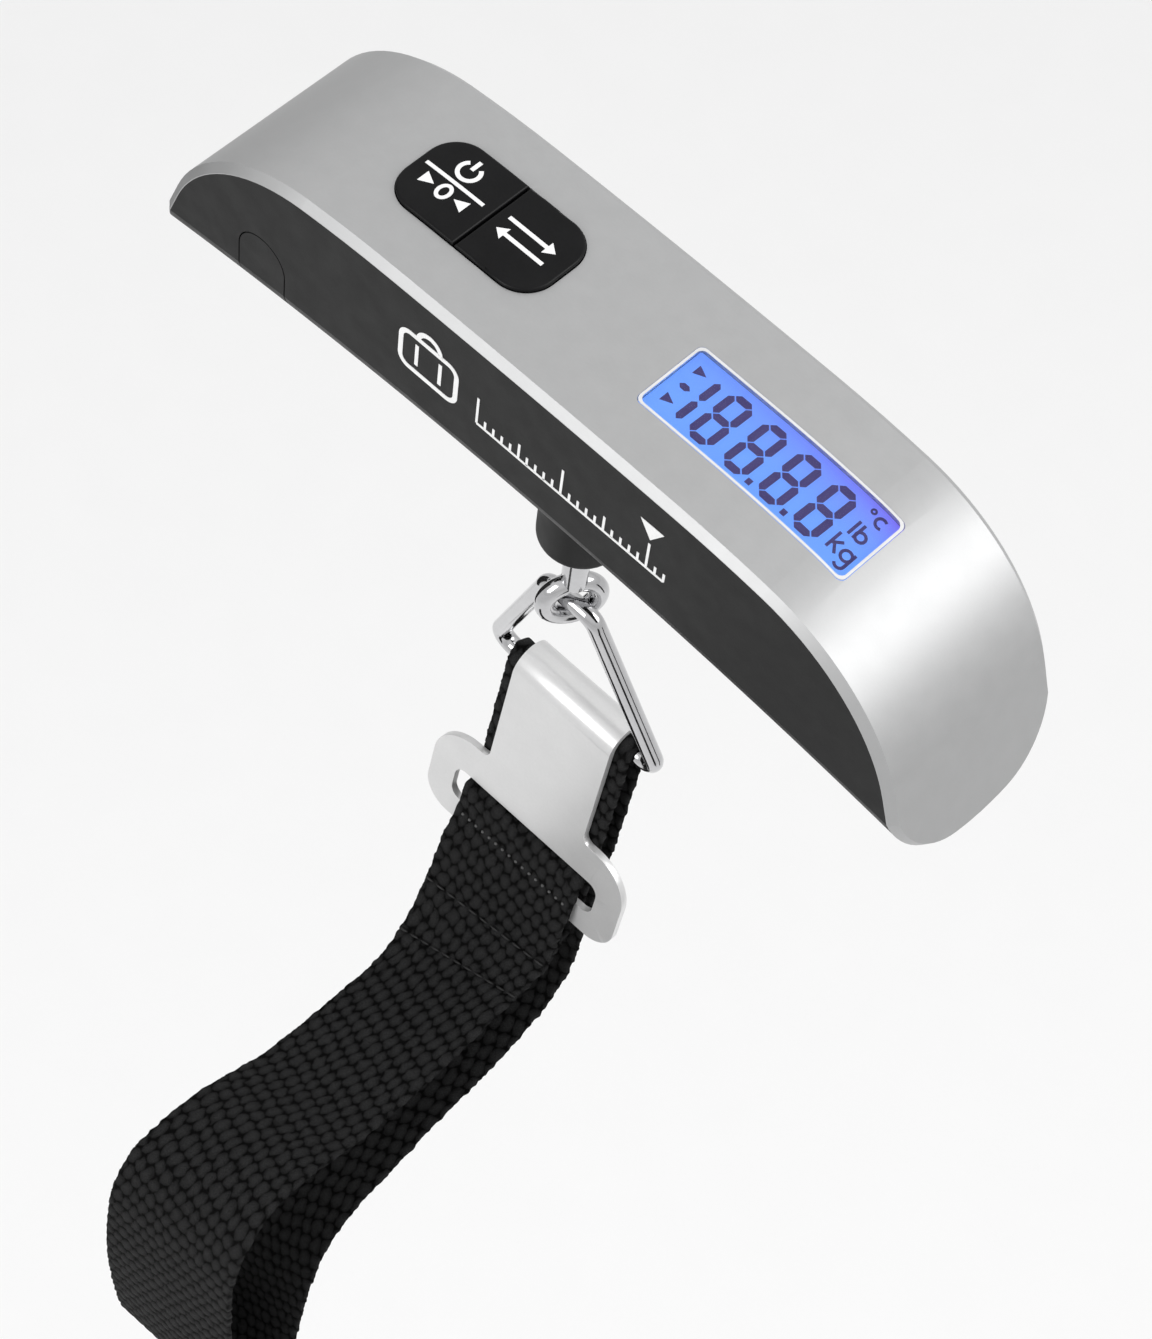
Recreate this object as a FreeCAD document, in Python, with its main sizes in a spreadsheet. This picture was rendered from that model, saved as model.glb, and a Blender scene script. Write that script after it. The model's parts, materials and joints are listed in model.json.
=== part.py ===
import FreeCAD, Part
import math
import os

import Sketcher

# Digital luggage scale: a long hand-held body with a neck under its middle, and below it an eye bolt,
# a wire ring, a flat hook and a webbing strap. X runs along the body, -Y is its front face, +Z is up.
# The origin is at the middle of the body, level with the front face's two bottom corners.

DIMENSIONS = {
    # body outline, side view
    "top_height": 25.7,
    "crown_radius": 1142.4,
    "crown_angle": 1.243,
    "shoulder_radius": 166.4,
    "shoulder_angle": 6.64,
    "end_radius": 29.57,
    "end_angle": 70.6,
    "profile_floor": 14.0,
    # body cross section
    "body_width": 30.8,
    "arch_radius": 514.6,
    "arch_rise": 4.25,
    "arch_sweep": 18.0,
    "belly_depth": 9.4,
    "belly_radius": 40.0,
    "belly_joint": 5.0,
    "corner_radius": 12.36,
    # shells
    "rim": 1.2,
    "bevel": 1.1,
    "lip": 0.5,
    "housing_wall": 1.8,
    "lip_play": 0.2,
    # neck
    "neck_radius": 6.3,
    "neck_bottom": -22.5,
    "neck_flare_radius": 10.0,
    "neck_flare_bottom": -11.0,
    "neck_edge": 1.5,
    "neck_bore_radius": 2.6,
    # keys
    "keypad_x": -22.1,
    "keypad_y": 0.4,
    "keypad_length": 26.4,
    "keypad_width": 14.2,
    "keypad_corner": 5.0,
    "key_play": 0.15,
    "key_split_x": -21.8,
    "key_proud": 0.6,
    "key_bottom": 22.2,
    "key_flange": 0.7,
    "key_flange_width": 1.2,
    "key_round": 0.4,
    # display
    "display_x": 27.8,
    "display_y": -0.6,
    "display_length": 35.2,
    "display_width": 12.4,
    "display_corner": 1.0,
    "window_play": 0.1,
    "window_thickness": 1.2,
    "lcd_tilt": 3.92,
    "lcd_top": 23.04,
    "lcd_length": 34.6,
    "lcd_width": 11.8,
    "lcd_thickness": 1.8,
    "frame_length": 39.0,
    "frame_width": 15.6,
    "frame_top": -0.95,
    "frame_height": 2.6,
    "frame_floor": 0.5,
    "backlight_thickness": 1.0,
    "pin_count": 10,
    "pin_pitch": 3.2,
    "pin_radius": 0.3,
    # electronics
    "board_left": -36.0,
    "board_right": 48.0,
    "board_width": 23.0,
    "board_bottom": 16.2,
    "board_thickness": 1.0,
    "chip_length": 10.0,
    "chip_width": 7.0,
    "chip_thickness": 1.6,
    "chip_y": -3.0,
    "switch_left": -28.6,
    "switch_right": -15.2,
    "switch_side": 6.0,
    "switch_height": 3.4,
    "switch_button_radius": 1.75,
    "switch_button_top": 21.75,
    "board_post_radius": 2.2,
    "board_post_y": 9.2,
    "board_post_left": -32.9,
    "board_post_right": 45.0,
    "board_screw_radius": 0.9,
    "board_screw_length": 6.0,
    "board_screw_head": 1.7,
    "board_screw_head_height": 1.0,
    "screw_slot": 0.5,
    # battery
    "cell_x": -47.0,
    "cell_radius": 10.0,
    "cell_bottom": -1.0,
    "cell_thickness": 3.2,
    "tray_radius": 11.3,
    "tray_play": 0.15,
    "tray_roof": 1.0,
    "tray_gap": 0.8,
    "tray_bridge_half": 4.0,
    "tray_slot_half": 3.0,
    "contact_thickness": 0.3,
    "contact_half_width": 1.0,
    "contact_y": 1.5,
    "contact_negative_reach": 9.0,
    "contact_positive_reach": 1.2,
    "contact_positive_z": 0.6,
    "door_left": -57.0,
    "door_right": -37.0,
    "door_half_width": 11.0,
    "door_play": 0.2,
    "tab_x": -47.35,
    "tab_width": 8.5,
    "tab_top": 10.3,
    # load path inside the body
    "load_cell_length": 64.0,
    "load_cell_width": 12.7,
    "load_cell_bottom": 2.0,
    "load_cell_height": 9.0,
    "flexure_inner": 12.0,
    "flexure_outer": 19.0,
    "flexure_radius": 3.2,
    "load_screw_x": 28.0,
    "load_screw_y": 3.4,
    "load_screw_radius": 1.5,
    "load_screw_head": 2.7,
    "load_screw_head_height": 1.8,
    "wire_radius": 0.3,
    "wire_rise": 2.5,
    "wire_shift": 3.0,
    "wire_bend": 0.9,
    "gauge_length": 6.0,
    "gauge_width": 4.0,
    "gauge_thickness": 0.25,
    "frame_plate_length": 70.0,
    "frame_plate_width": 13.4,
    "frame_plate_bottom": -1.6,
    "frame_plate_thickness": 1.6,
    "frame_block_length": 10.0,
    "frame_hole_radius": 5.0,
    # eye bolt
    "shaft_radius": 1.93,
    "shaft_hole_radius": 2.0,
    "shaft_top": 15.4,
    "washer_radius": 4.6,
    "washer_gap": 0.05,
    "washer_thickness": 0.9,
    "nut_across_flats": 7.0,
    "nut_height": 3.0,
    "eye_z": -38.0,
    "eye_major": 3.95,
    "eye_wire": 1.5,
    "eye_turn": 60.0,
    # wire ring
    "ring_wire": 1.45,
    "ring_top_z": -38.75,
    "ring_top_half": 4.3,
    "ring_top_bend": 2.5,
    "ring_bar_y": 5.2,
    "ring_bar_z": -71.8,
    "ring_bar_half": 16.8,
    "ring_bar_bend": 2.6,
    # hook plate
    "hook_tilt": -8.34,
    "hook_inner": 2.6,
    "hook_thickness": 1.15,
    "tongue_half": 10.0,
    "flap_drop": 8.5,
    "flap_round": 2.5,
    "ear_half": 20.1,
    "ear_round": 7.5,
    "ear_foot_round": 5.0,
    "ear_top": 21.8,
    "ear_bottom": 40.8,
    "ear_corner": 1.6,
    "slot_half": 15.2,
    "slot_top": 29.0,
    "slot_bottom": 36.0,
    "slot_round": 2.0,
    # strap
    "strap_width": 25.4,
    "strap_thickness": 1.0,
    "strap_play": 0.05,
    "strap_slot_play": 0.3,
    # screws
    "housing_screw_left": -61.2,
    "housing_screw_right": 52.0,
    "housing_post_radius": 2.6,
    "housing_screw_radius": 1.1,
    "housing_screw_head": 2.0,
    "housing_screw_length": 9.0,
    "housing_screw_seat": -5.2,
    "post_split": -2.0,
}

doc = FreeCAD.newDocument("luggage_scale")
sheet = doc.addObject("Spreadsheet::Sheet", "Dims")
for row, (alias, value) in enumerate(DIMENSIONS.items(), start=1):
    sheet.set(f"A{row}", alias)
    sheet.set(f"B{row}", str(value))
    sheet.setAlias(f"B{row}", alias)
doc.recompute()


def size(alias):
    """Read one driving dimension from the sheet."""
    return float(sheet.get(alias))


def vec(x, y, z):
    return FreeCAD.Vector(x, y, z)


X_AXIS = vec(1, 0, 0)
Y_AXIS = vec(0, 1, 0)
Z_AXIS = vec(0, 0, 1)

# ---------------------------------------------------------------- document objects


def new_body(name):
    body = doc.addObject("PartDesign::Body", name)
    body.Label = name
    return body


def new_sketch(body, name, role, offset="0"):
    """Attach a sketch to one of the body's own origin planes, moved along its normal."""
    sketch = body.newObject("Sketcher::SketchObject", name)
    plane = next(f for f in body.Origin.OriginFeatures if f.Role == role)
    sketch.AttachmentSupport = (plane, [""])
    sketch.MapMode = "FlatFace"
    sketch.setExpression("AttachmentOffset.Base.z", offset)
    return sketch


def bind(sketch, constraint, expression):
    """Add a constraint and drive it from the sheet."""
    index = sketch.addConstraint(constraint)
    sketch.setExpression(f"Constraints[{index}]", expression)


def add_rectangle(sketch, length, width, x="0", y="0"):
    """Rectangle with its centre at x, y. All four are expressions."""
    first = sketch.GeometryCount
    corners = [vec(-1, -1, 0), vec(1, -1, 0), vec(1, 1, 0), vec(-1, 1, 0)]
    for index in range(4):
        sketch.addGeometry(Part.LineSegment(corners[index], corners[(index + 1) % 4]), False)
    for index in range(4):
        following = first + (index + 1) % 4
        sketch.addConstraint(Sketcher.Constraint("Coincident", first + index, 2, following, 1))
    for index, direction in enumerate(("Horizontal", "Vertical", "Horizontal", "Vertical")):
        sketch.addConstraint(Sketcher.Constraint(direction, first + index))
    bind(sketch, Sketcher.Constraint("DistanceX", first, 1, first, 2, 2.0), length)
    bind(sketch, Sketcher.Constraint("DistanceY", first + 1, 1, first + 1, 2, 2.0), width)
    bind(sketch, Sketcher.Constraint("DistanceX", -1, 1, first, 1, -1.0), f"{x} - ({length}) / 2")
    bind(sketch, Sketcher.Constraint("DistanceY", -1, 1, first, 1, -1.0), f"{y} - ({width}) / 2")


def add_circle(sketch, radius, x="0", y="0"):
    index = sketch.addGeometry(Part.Circle(vec(0.1, 0.1, 0), Z_AXIS, 1.0), False)
    bind(sketch, Sketcher.Constraint("Radius", index, 1.0), radius)
    bind(sketch, Sketcher.Constraint("DistanceX", -1, 1, index, 3, 0.1), x)
    bind(sketch, Sketcher.Constraint("DistanceY", -1, 1, index, 3, 0.1), y)


def add_pad(body, sketch, length):
    pad = body.newObject("PartDesign::Pad", sketch.Name + "_pad")
    pad.Profile = sketch
    pad.setExpression("Length", length)
    body.Tip = pad
    return pad


def add_through_pocket(body, sketch):
    """Cut the sketch through everything, both ways."""
    pocket = body.newObject("PartDesign::Pocket", sketch.Name + "_cut")
    pocket.Profile = sketch
    pocket.Type = "ThroughAll"
    pocket.Midplane = True
    body.Tip = pocket
    return pocket


def plate_body(name, length, width, thickness, x="0", y="0", z="0"):
    """A flat rectangular piece whose underside is at height z."""
    body = new_body(name)
    sketch = new_sketch(body, name + "_outline", "XY_Plane", z)
    add_rectangle(sketch, length, width, x, y)
    add_pad(body, sketch, thickness)
    return body


def solid_feature(name, shape):
    """A piece whose curved or grouped solids come from Part functions."""
    feature = doc.addObject("Part::Feature", name)
    feature.Label = name
    feature.Shape = shape
    return feature


# ---------------------------------------------------------------- shape helpers


def cylinder(radius, x, y, bottom, top):
    return Part.makeCylinder(radius, top - bottom, vec(x, y, bottom))


def box(x0, x1, y0, y1, z0, z1):
    return Part.makeBox(x1 - x0, y1 - y0, z1 - z0, vec(x0, y0, z0))


def rounded_column(x, y, length, width, corner, bottom, top):
    """Upright column with a rounded rectangular outline."""
    column = box(x - length / 2, x + length / 2, y - width / 2, y + width / 2, bottom, top)
    upright = [e for e in column.Edges if abs(e.Vertexes[0].Z - e.Vertexes[1].Z) > 0.1]
    return column.makeFillet(corner, upright)


def side_polar(radius, degrees):
    angle = math.radians(degrees)
    return vec(radius * math.sin(angle), 0, radius * math.cos(angle))


def mirrored_x(point):
    return vec(-point.x, point.y, point.z)


def side_profile(inset):
    """Side view of the body as a face, with its outline moved inwards by inset."""
    radii = [size("crown_radius"), size("shoulder_radius"), size("end_radius")]
    stops = [0.0, size("crown_angle"), size("shoulder_angle"), size("end_angle")]
    centre = vec(0, 0, size("top_height") - radii[0])
    edges = []
    for index, radius in enumerate(radii):
        start, stop = stops[index], stops[index + 1]
        points = [centre + side_polar(radius - inset, a) for a in (start, (start + stop) / 2, stop)]
        edges.append(Part.Arc(*points).toShape())
        edges.append(Part.Arc(*[mirrored_x(p) for p in points]).toShape())
        if index < 2:
            centre = centre + side_polar(radius - radii[index + 1], stop)
    shoulder = points[-1]
    run = (shoulder.z + size("profile_floor")) / math.tan(math.radians(size("end_angle")))
    corner = vec(shoulder.x + run, 0, -size("profile_floor"))
    edges.append(Part.makeLine(shoulder, corner))
    edges.append(Part.makeLine(mirrored_x(shoulder), mirrored_x(corner)))
    edges.append(Part.makeLine(corner, mirrored_x(corner)))
    return Part.Face(Part.Wire(Part.__sortEdges__(edges)))


def side_solid(inset):
    """The side view drawn out across a little more than the body's width."""
    face = side_profile(inset)
    half = size("body_width")
    face.translate(vec(0, -half, 0))
    return face.extrude(vec(0, 2 * half, 0))


def belly_solid(inset):
    """The U cross section swung along the arched underside, moved inwards by inset."""
    half = size("body_width") / 2 - inset
    belly = size("belly_radius")
    corner = size("corner_radius")
    lean = math.asin(size("belly_joint") / belly)
    belly_centre = vec(0, 0, size("arch_rise") - size("belly_depth") + belly)
    outward = vec(0, math.sin(lean), -math.cos(lean))
    corner_centre = belly_centre + outward * (belly - corner)
    edge_angle = math.acos((half - corner_centre.y) / (corner - inset))
    joint_angle = math.pi / 2 - lean
    middle = (edge_angle + joint_angle) / 2
    points = []
    for angle in (edge_angle, middle, joint_angle):
        points.append(corner_centre + vec(0, math.cos(angle), -math.sin(angle)) * (corner - inset))
    bottom = belly_centre - vec(0, 0, belly - inset)
    ceiling = size("top_height") + size("rim") * 4
    top = vec(0, half, ceiling)
    flip = [vec(0, -p.y, p.z) for p in points]
    edges = [
        Part.makeLine(top, points[0]),
        Part.Arc(*points).toShape(),
        Part.Arc(points[2], bottom, flip[2]).toShape(),
        Part.Arc(*reversed(flip)).toShape(),
        Part.makeLine(flip[0], vec(0, -half, ceiling)),
        Part.makeLine(vec(0, -half, ceiling), top),
    ]
    face = Part.Face(Part.Wire(edges))
    hub = vec(0, 0, size("arch_rise") - size("arch_radius"))
    face.rotate(hub, Y_AXIS, -size("arch_sweep") / 2)
    return face.revolve(hub, Y_AXIS, size("arch_sweep"))


def rounded_path(points, bends):
    """Open path of straight lines through the points, with a bend radius, or 0, at each inner point."""
    edges = []
    start = points[0]
    for index in range(1, len(points) - 1):
        corner = points[index]
        back = (points[index - 1] - corner).normalize()
        ahead = (points[index + 1] - corner).normalize()
        opening = back.getAngle(ahead)
        if bends[index - 1] == 0:
            edges.append(Part.makeLine(start, corner))
            start = corner
            continue
        reach = bends[index - 1] / math.tan(opening / 2)
        first = corner + back * reach
        last = corner + ahead * reach
        halfway = (back + ahead).normalize()
        depth = bends[index - 1] / math.sin(opening / 2) - bends[index - 1]
        if (first - start).Length > 1e-6:
            edges.append(Part.makeLine(start, first))
        edges.append(Part.Arc(first, corner + halfway * depth, last).toShape())
        start = last
    edges.append(Part.makeLine(start, points[-1]))
    return Part.Wire(edges)


# ---------------------------------------------------------------- cover and housing


def is_cover_edge(edge, profile):
    """True for the long edges where the cover's skin meets the body's sides and belly."""
    middle = edge.valueAt((edge.FirstParameter + edge.LastParameter) / 2)
    off_skin = profile.distToShape(Part.Vertex(middle.x, 0, middle.z))[0]
    across = abs(edge.Vertexes[0].Y - edge.Vertexes[-1].Y) > size("body_width") - 0.1
    return off_skin < 0.01 and not across


def screw_posts(bottom, top):
    """The two posts that the housing screws run into."""
    posts = []
    for x in (size("housing_screw_left"), size("housing_screw_right")):
        posts.append(cylinder(size("housing_post_radius"), x, 0, bottom, top))
    return posts


def build_cover():
    rim = size("rim")
    lip_depth = rim + size("lip")
    blank = side_solid(0).common(belly_solid(0))
    profile = side_profile(0).OuterWire
    skin_edges = [e for e in blank.Edges if is_cover_edge(e, profile)]
    cover = blank.makeChamfer(size("bevel"), skin_edges).cut(side_solid(rim))
    inner = belly_solid(size("housing_wall") + size("lip_play"))
    cover = cover.fuse(side_solid(rim).cut(side_solid(lip_depth)).common(inner))
    reach = side_solid(rim / 2)
    screw_hole = size("housing_screw_radius")
    for post in screw_posts(size("post_split"), size("top_height")):
        cover = cover.fuse(post.common(reach))
    for x in (size("housing_screw_left"), size("housing_screw_right")):
        top = size("housing_screw_seat") + size("housing_screw_length") + size("rim")
        cover = cover.cut(cylinder(screw_hole, x, 0, size("post_split"), top))
    high = size("top_height") + rim
    low = size("board_bottom") + size("board_thickness")
    keypad = rounded_column(size("keypad_x"), size("keypad_y"), size("keypad_length"),
                            size("keypad_width"), size("keypad_corner"), low, high)
    display = rounded_column(size("display_x"), size("display_y"), size("display_length"),
                             size("display_width"), size("display_corner"), low, high)
    return cover.cut(keypad).cut(display).removeSplitter()


def neck_solid():
    """Round neck with a flared root, turned about the Z axis."""
    radius = size("neck_radius")
    flare = size("neck_flare_radius")
    bottom = size("neck_bottom")
    edge = size("neck_edge")
    root = vec(flare, 0, -size("arch_rise") / 2)
    waist = vec(radius, 0, size("neck_flare_bottom"))
    bow = vec((flare + 2 * radius) / 3, 0, (root.z + waist.z) / 2)
    turn = math.sqrt(0.5)
    rounding = vec(radius - edge + edge * turn, 0, bottom + edge - edge * turn)
    edges = [
        Part.makeLine(vec(0, 0, size("arch_rise")), vec(flare, 0, size("arch_rise"))),
        Part.makeLine(vec(flare, 0, size("arch_rise")), root),
        Part.Arc(root, bow, waist).toShape(),
        Part.makeLine(waist, vec(radius, 0, bottom + edge)),
        Part.Arc(vec(radius, 0, bottom + edge), rounding, vec(radius - edge, 0, bottom)).toShape(),
        Part.makeLine(vec(radius - edge, 0, bottom), vec(0, 0, bottom)),
        Part.makeLine(vec(0, 0, bottom), vec(0, 0, size("arch_rise"))),
    ]
    return Part.Face(Part.Wire(edges)).revolve(vec(0, 0, 0), Z_AXIS, 360)


def door_region(play):
    """The part of the shell taken by the battery door, grown by play on every side."""
    deep = -size("profile_floor")
    half = size("door_half_width") + play
    floor_part = box(size("door_left") - play, size("door_right") + play, -half, half, deep, 0)
    tab_half = size("tab_width") / 2 + play
    arch_z = size("tab_top") + play - tab_half
    front = -size("body_width")
    tab_x = size("tab_x")
    tab = box(tab_x - tab_half, tab_x + tab_half, front, -half + 1, deep, arch_z)
    arch = Part.makeCylinder(tab_half, -half + 1 - front, vec(tab_x, front, arch_z), Y_AXIS)
    return floor_part.fuse(tab).fuse(arch)


def shell_solid():
    return belly_solid(0).cut(belly_solid(size("housing_wall")))


def board_post_places():
    places = []
    for x in (size("board_post_left"), size("board_post_right")):
        for y in (-size("board_post_y"), size("board_post_y")):
            places.append((x, y))
    return places


def frame_post_places():
    reach = size("load_screw_x")
    return [(-reach, 0), (reach, 0)]


def build_housing():
    wall = size("housing_wall")
    outside = belly_solid(0)
    cavity = belly_solid(wall)
    housing = side_solid(size("rim")).common(outside).fuse(neck_solid()).cut(cavity)
    deep = -size("profile_floor")
    inside = belly_solid(wall / 2)
    for x, y in board_post_places():
        post = cylinder(size("board_post_radius"), x, y, deep, size("board_bottom"))
        housing = housing.fuse(post.common(inside))
    for x, y in frame_post_places():
        post = cylinder(size("load_screw_head"), x, y, deep, size("frame_plate_bottom"))
        housing = housing.fuse(post.common(inside))
    for post in screw_posts(deep, size("post_split")):
        housing = housing.fuse(post.common(inside))
    for x, y in board_post_places():
        floor = size("board_bottom") - size("board_screw_length")
        housing = housing.cut(cylinder(size("board_screw_radius"), x, y, floor, size("board_bottom")))
    for x in (size("housing_screw_left"), size("housing_screw_right")):
        housing = housing.cut(cylinder(size("housing_screw_radius"), x, 0, deep, 0))
        housing = housing.cut(cylinder(size("housing_screw_head"), x, 0, deep,
                                       size("housing_screw_seat")))
    bore = cylinder(size("neck_bore_radius"), 0, 0, size("neck_bottom") - 1, size("arch_rise"))
    housing = housing.cut(bore)
    return housing.cut(door_region(size("door_play"))).removeSplitter()


solid_feature("top_cover", build_cover())
solid_feature("lower_housing", build_housing())
solid_feature("battery_door", shell_solid().common(door_region(0)).removeSplitter())

# ---------------------------------------------------------------- keys


def build_key(left, right):
    """One half of the key pad: a proud cap with a flange that keeps it under the cover."""
    play = size("key_play")
    bottom = size("key_bottom")
    top = size("top_height") + size("key_proud") + 1
    pad = rounded_column(size("keypad_x"), size("keypad_y"), size("keypad_length") - 2 * play,
                         size("keypad_width") - 2 * play, size("keypad_corner") - play, bottom, top)
    band = box(left, right, -size("body_width"), size("body_width"), bottom, top)
    cap = pad.common(band).common(side_solid(-size("key_proud")))
    highest = cap.BoundBox.ZMax
    top_edges = []
    for edge in cap.Edges:
        middle = edge.valueAt((edge.FirstParameter + edge.LastParameter) / 2)
        upright = abs(edge.Vertexes[0].Z - edge.Vertexes[-1].Z) > 2
        if middle.z > highest - 1.2 and not upright and edge.Length < size("keypad_length"):
            top_edges.append(edge)
    cap = cap.makeFillet(size("key_round"), top_edges)
    grow = 2 * (size("key_flange_width") - play)
    flange = rounded_column(size("keypad_x"), size("keypad_y"), size("keypad_length") + grow,
                            size("keypad_width") + grow, size("keypad_corner"),
                            bottom, bottom + size("key_flange"))
    outer = size("key_flange_width")
    flange_left = left - (outer if left == KEYPAD_LEFT else 0)
    flange_right = right + (outer if right == KEYPAD_RIGHT else 0)
    flange_band = box(flange_left, flange_right, -size("body_width"), size("body_width"), bottom, top)
    return cap.fuse(flange.common(flange_band)).removeSplitter()


KEYPAD_LEFT = size("keypad_x") - size("keypad_length") / 2
KEYPAD_RIGHT = size("keypad_x") + size("keypad_length") / 2
solid_feature("power_key", build_key(KEYPAD_LEFT, size("key_split_x") - size("key_play")))
solid_feature("unit_key", build_key(size("key_split_x") + size("key_play"), KEYPAD_RIGHT))

# ---------------------------------------------------------------- display


def build_window():
    play = size("window_play")
    low = size("board_bottom")
    column = rounded_column(size("display_x"), size("display_y"),
                            size("display_length") - play, size("display_width") - play,
                            size("display_corner"), low, size("top_height") + 1)
    depth = play / 2 + size("window_thickness")
    return side_solid(play / 2).cut(side_solid(depth)).common(column)


solid_feature("display_window", build_window())
DISPLAY_PLACE = FreeCAD.Placement(vec(size("display_x"), size("display_y"), size("lcd_top")),
                                  FreeCAD.Rotation(Y_AXIS, size("lcd_tilt")))

glass = plate_body("lcd_glass", "Dims.lcd_length", "Dims.lcd_width", "Dims.lcd_thickness",
                   z="-Dims.lcd_thickness")
glass.Placement = DISPLAY_PLACE

holder = plate_body("lcd_frame", "Dims.frame_length", "Dims.frame_width", "Dims.frame_height",
                    z="Dims.frame_top - Dims.frame_height")
seat = new_sketch(holder, "lcd_frame_seat", "XY_Plane", "Dims.frame_top")
add_rectangle(seat, "Dims.lcd_length", "Dims.lcd_width")
recess = holder.newObject("PartDesign::Pocket", "lcd_frame_recess")
recess.Profile = seat
recess.setExpression("Length", "Dims.frame_height - Dims.frame_floor")
holder.Tip = recess
holder.Placement = DISPLAY_PLACE

backlight = plate_body("backlight_panel", "Dims.lcd_length - 0.6", "Dims.lcd_width - 0.6",
                       "Dims.backlight_thickness",
                       z="Dims.frame_top - Dims.frame_height + Dims.frame_floor")
backlight.Placement = DISPLAY_PLACE


def build_display_pins():
    """Row of pins from the underside of the display frame down to the board."""
    pins = []
    board_top = size("board_bottom") + size("board_thickness")
    slope = math.tan(math.radians(size("lcd_tilt")))
    depth = size("frame_height") - size("frame_top")
    count = int(size("pin_count"))
    for index in range(count):
        run = (index - (count - 1) / 2) * size("pin_pitch")
        top = size("lcd_top") - depth / math.cos(math.radians(size("lcd_tilt"))) - run * slope
        x = size("display_x") + run
        pins.append(cylinder(size("pin_radius"), x, size("display_y"), board_top, top - 0.1))
    return Part.makeCompound(pins)


solid_feature("display_pins", build_display_pins())

# ---------------------------------------------------------------- board, chip and switches

board = plate_body("main_board", "Dims.board_right - Dims.board_left", "Dims.board_width",
                   "Dims.board_thickness", x="(Dims.board_left + Dims.board_right) / 2",
                   z="Dims.board_bottom")
holes = new_sketch(board, "main_board_holes", "XY_Plane", "Dims.board_bottom")
for side_x in ("Dims.board_post_left", "Dims.board_post_right"):
    for side_y in ("Dims.board_post_y", "-Dims.board_post_y"):
        add_circle(holes, "Dims.board_screw_radius + 0.1", side_x, side_y)
add_through_pocket(board, holes)

plate_body("controller_chip", "Dims.chip_length", "Dims.chip_width", "Dims.chip_thickness",
           y="Dims.chip_y", z="Dims.board_bottom + Dims.board_thickness")


def screw(x, y, seat, length, radius, head_radius, head_height):
    """Upright screw with its head resting at the seat height and its tip pointing down."""
    shank = cylinder(radius, x, y, seat - length, seat)
    head = cylinder(head_radius, x, y, seat, seat + head_height)
    slot_half = size("screw_slot") / 2
    slot = box(x - head_radius, x + head_radius, y - slot_half, y + slot_half,
               seat + head_height - size("screw_slot"), seat + head_height)
    return shank.fuse(head).cut(slot)


def build_switches():
    switches = []
    board_top = size("board_bottom") + size("board_thickness")
    side = size("switch_side")
    for x in (size("switch_left"), size("switch_right")):
        y = size("keypad_y")
        case = box(x - side / 2, x + side / 2, y - side / 2, y + side / 2,
                   board_top, board_top + size("switch_height"))
        button = cylinder(size("switch_button_radius"), x, y, board_top, size("switch_button_top"))
        switches.append(case.fuse(button))
    return Part.makeCompound(switches)


solid_feature("key_switches", build_switches())
BOARD_TOP = size("board_bottom") + size("board_thickness")
solid_feature("board_screws", Part.makeCompound([
    screw(x, y, BOARD_TOP, size("board_screw_length"), size("board_screw_radius"),
          size("board_screw_head"), size("board_screw_head_height"))
    for x, y in board_post_places()]))

# ---------------------------------------------------------------- battery compartment

cell = new_body("coin_cell")
cell_outline = new_sketch(cell, "coin_cell_outline", "XY_Plane", "Dims.cell_bottom")
add_circle(cell_outline, "Dims.cell_radius", "Dims.cell_x")
add_pad(cell, cell_outline, "Dims.cell_thickness")


def build_tray():
    """Round holder over the cell, carried between the housing's side walls."""
    x = size("cell_x")
    radius = size("tray_radius")
    bottom = size("cell_bottom") + 0.4
    cell_top = size("cell_bottom") + size("cell_thickness")
    top = cell_top + size("tray_gap") + size("tray_roof")
    inner_half = size("body_width") / 2 - size("housing_wall")
    roof = cell_top + size("tray_gap")
    half = size("tray_bridge_half")
    bridge = box(x - half, x + half, -inner_half, inner_half, roof, top)
    tray = cylinder(radius, x, 0, bottom, top).fuse(bridge)
    tray = tray.cut(cylinder(size("cell_radius") + size("tray_play"), x, 0, bottom, roof))
    slot_half = size("tray_slot_half")
    tray = tray.cut(box(x, x + radius, -slot_half, slot_half, bottom, roof))
    return tray.cut(cylinder(half, x, 0, roof, top))


def build_contact(y, low, high, reach):
    """Bent leaf: a tongue that reaches towards the cell and a leg that runs up to the board."""
    thin = size("contact_thickness")
    half = size("contact_half_width")
    leg_x = size("cell_x") + size("tray_radius") + size("tray_play")
    leg = box(leg_x, leg_x + thin, y - half, y + half, low, high)
    tongue = box(leg_x - reach, leg_x + thin, y - half, y + half, low, low + thin)
    return leg.fuse(tongue).removeSplitter()


CELL_TOP = size("cell_bottom") + size("cell_thickness")
solid_feature("battery_tray", build_tray())
CONTACT_TOP = size("board_bottom")
solid_feature("contact_negative", build_contact(-size("contact_y"), CELL_TOP, CONTACT_TOP,
                                                size("contact_negative_reach")))
solid_feature("contact_positive", build_contact(size("contact_y"), size("contact_positive_z"), CONTACT_TOP,
                                                size("contact_positive_reach")))

# ---------------------------------------------------------------- load cell and its frame

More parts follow.
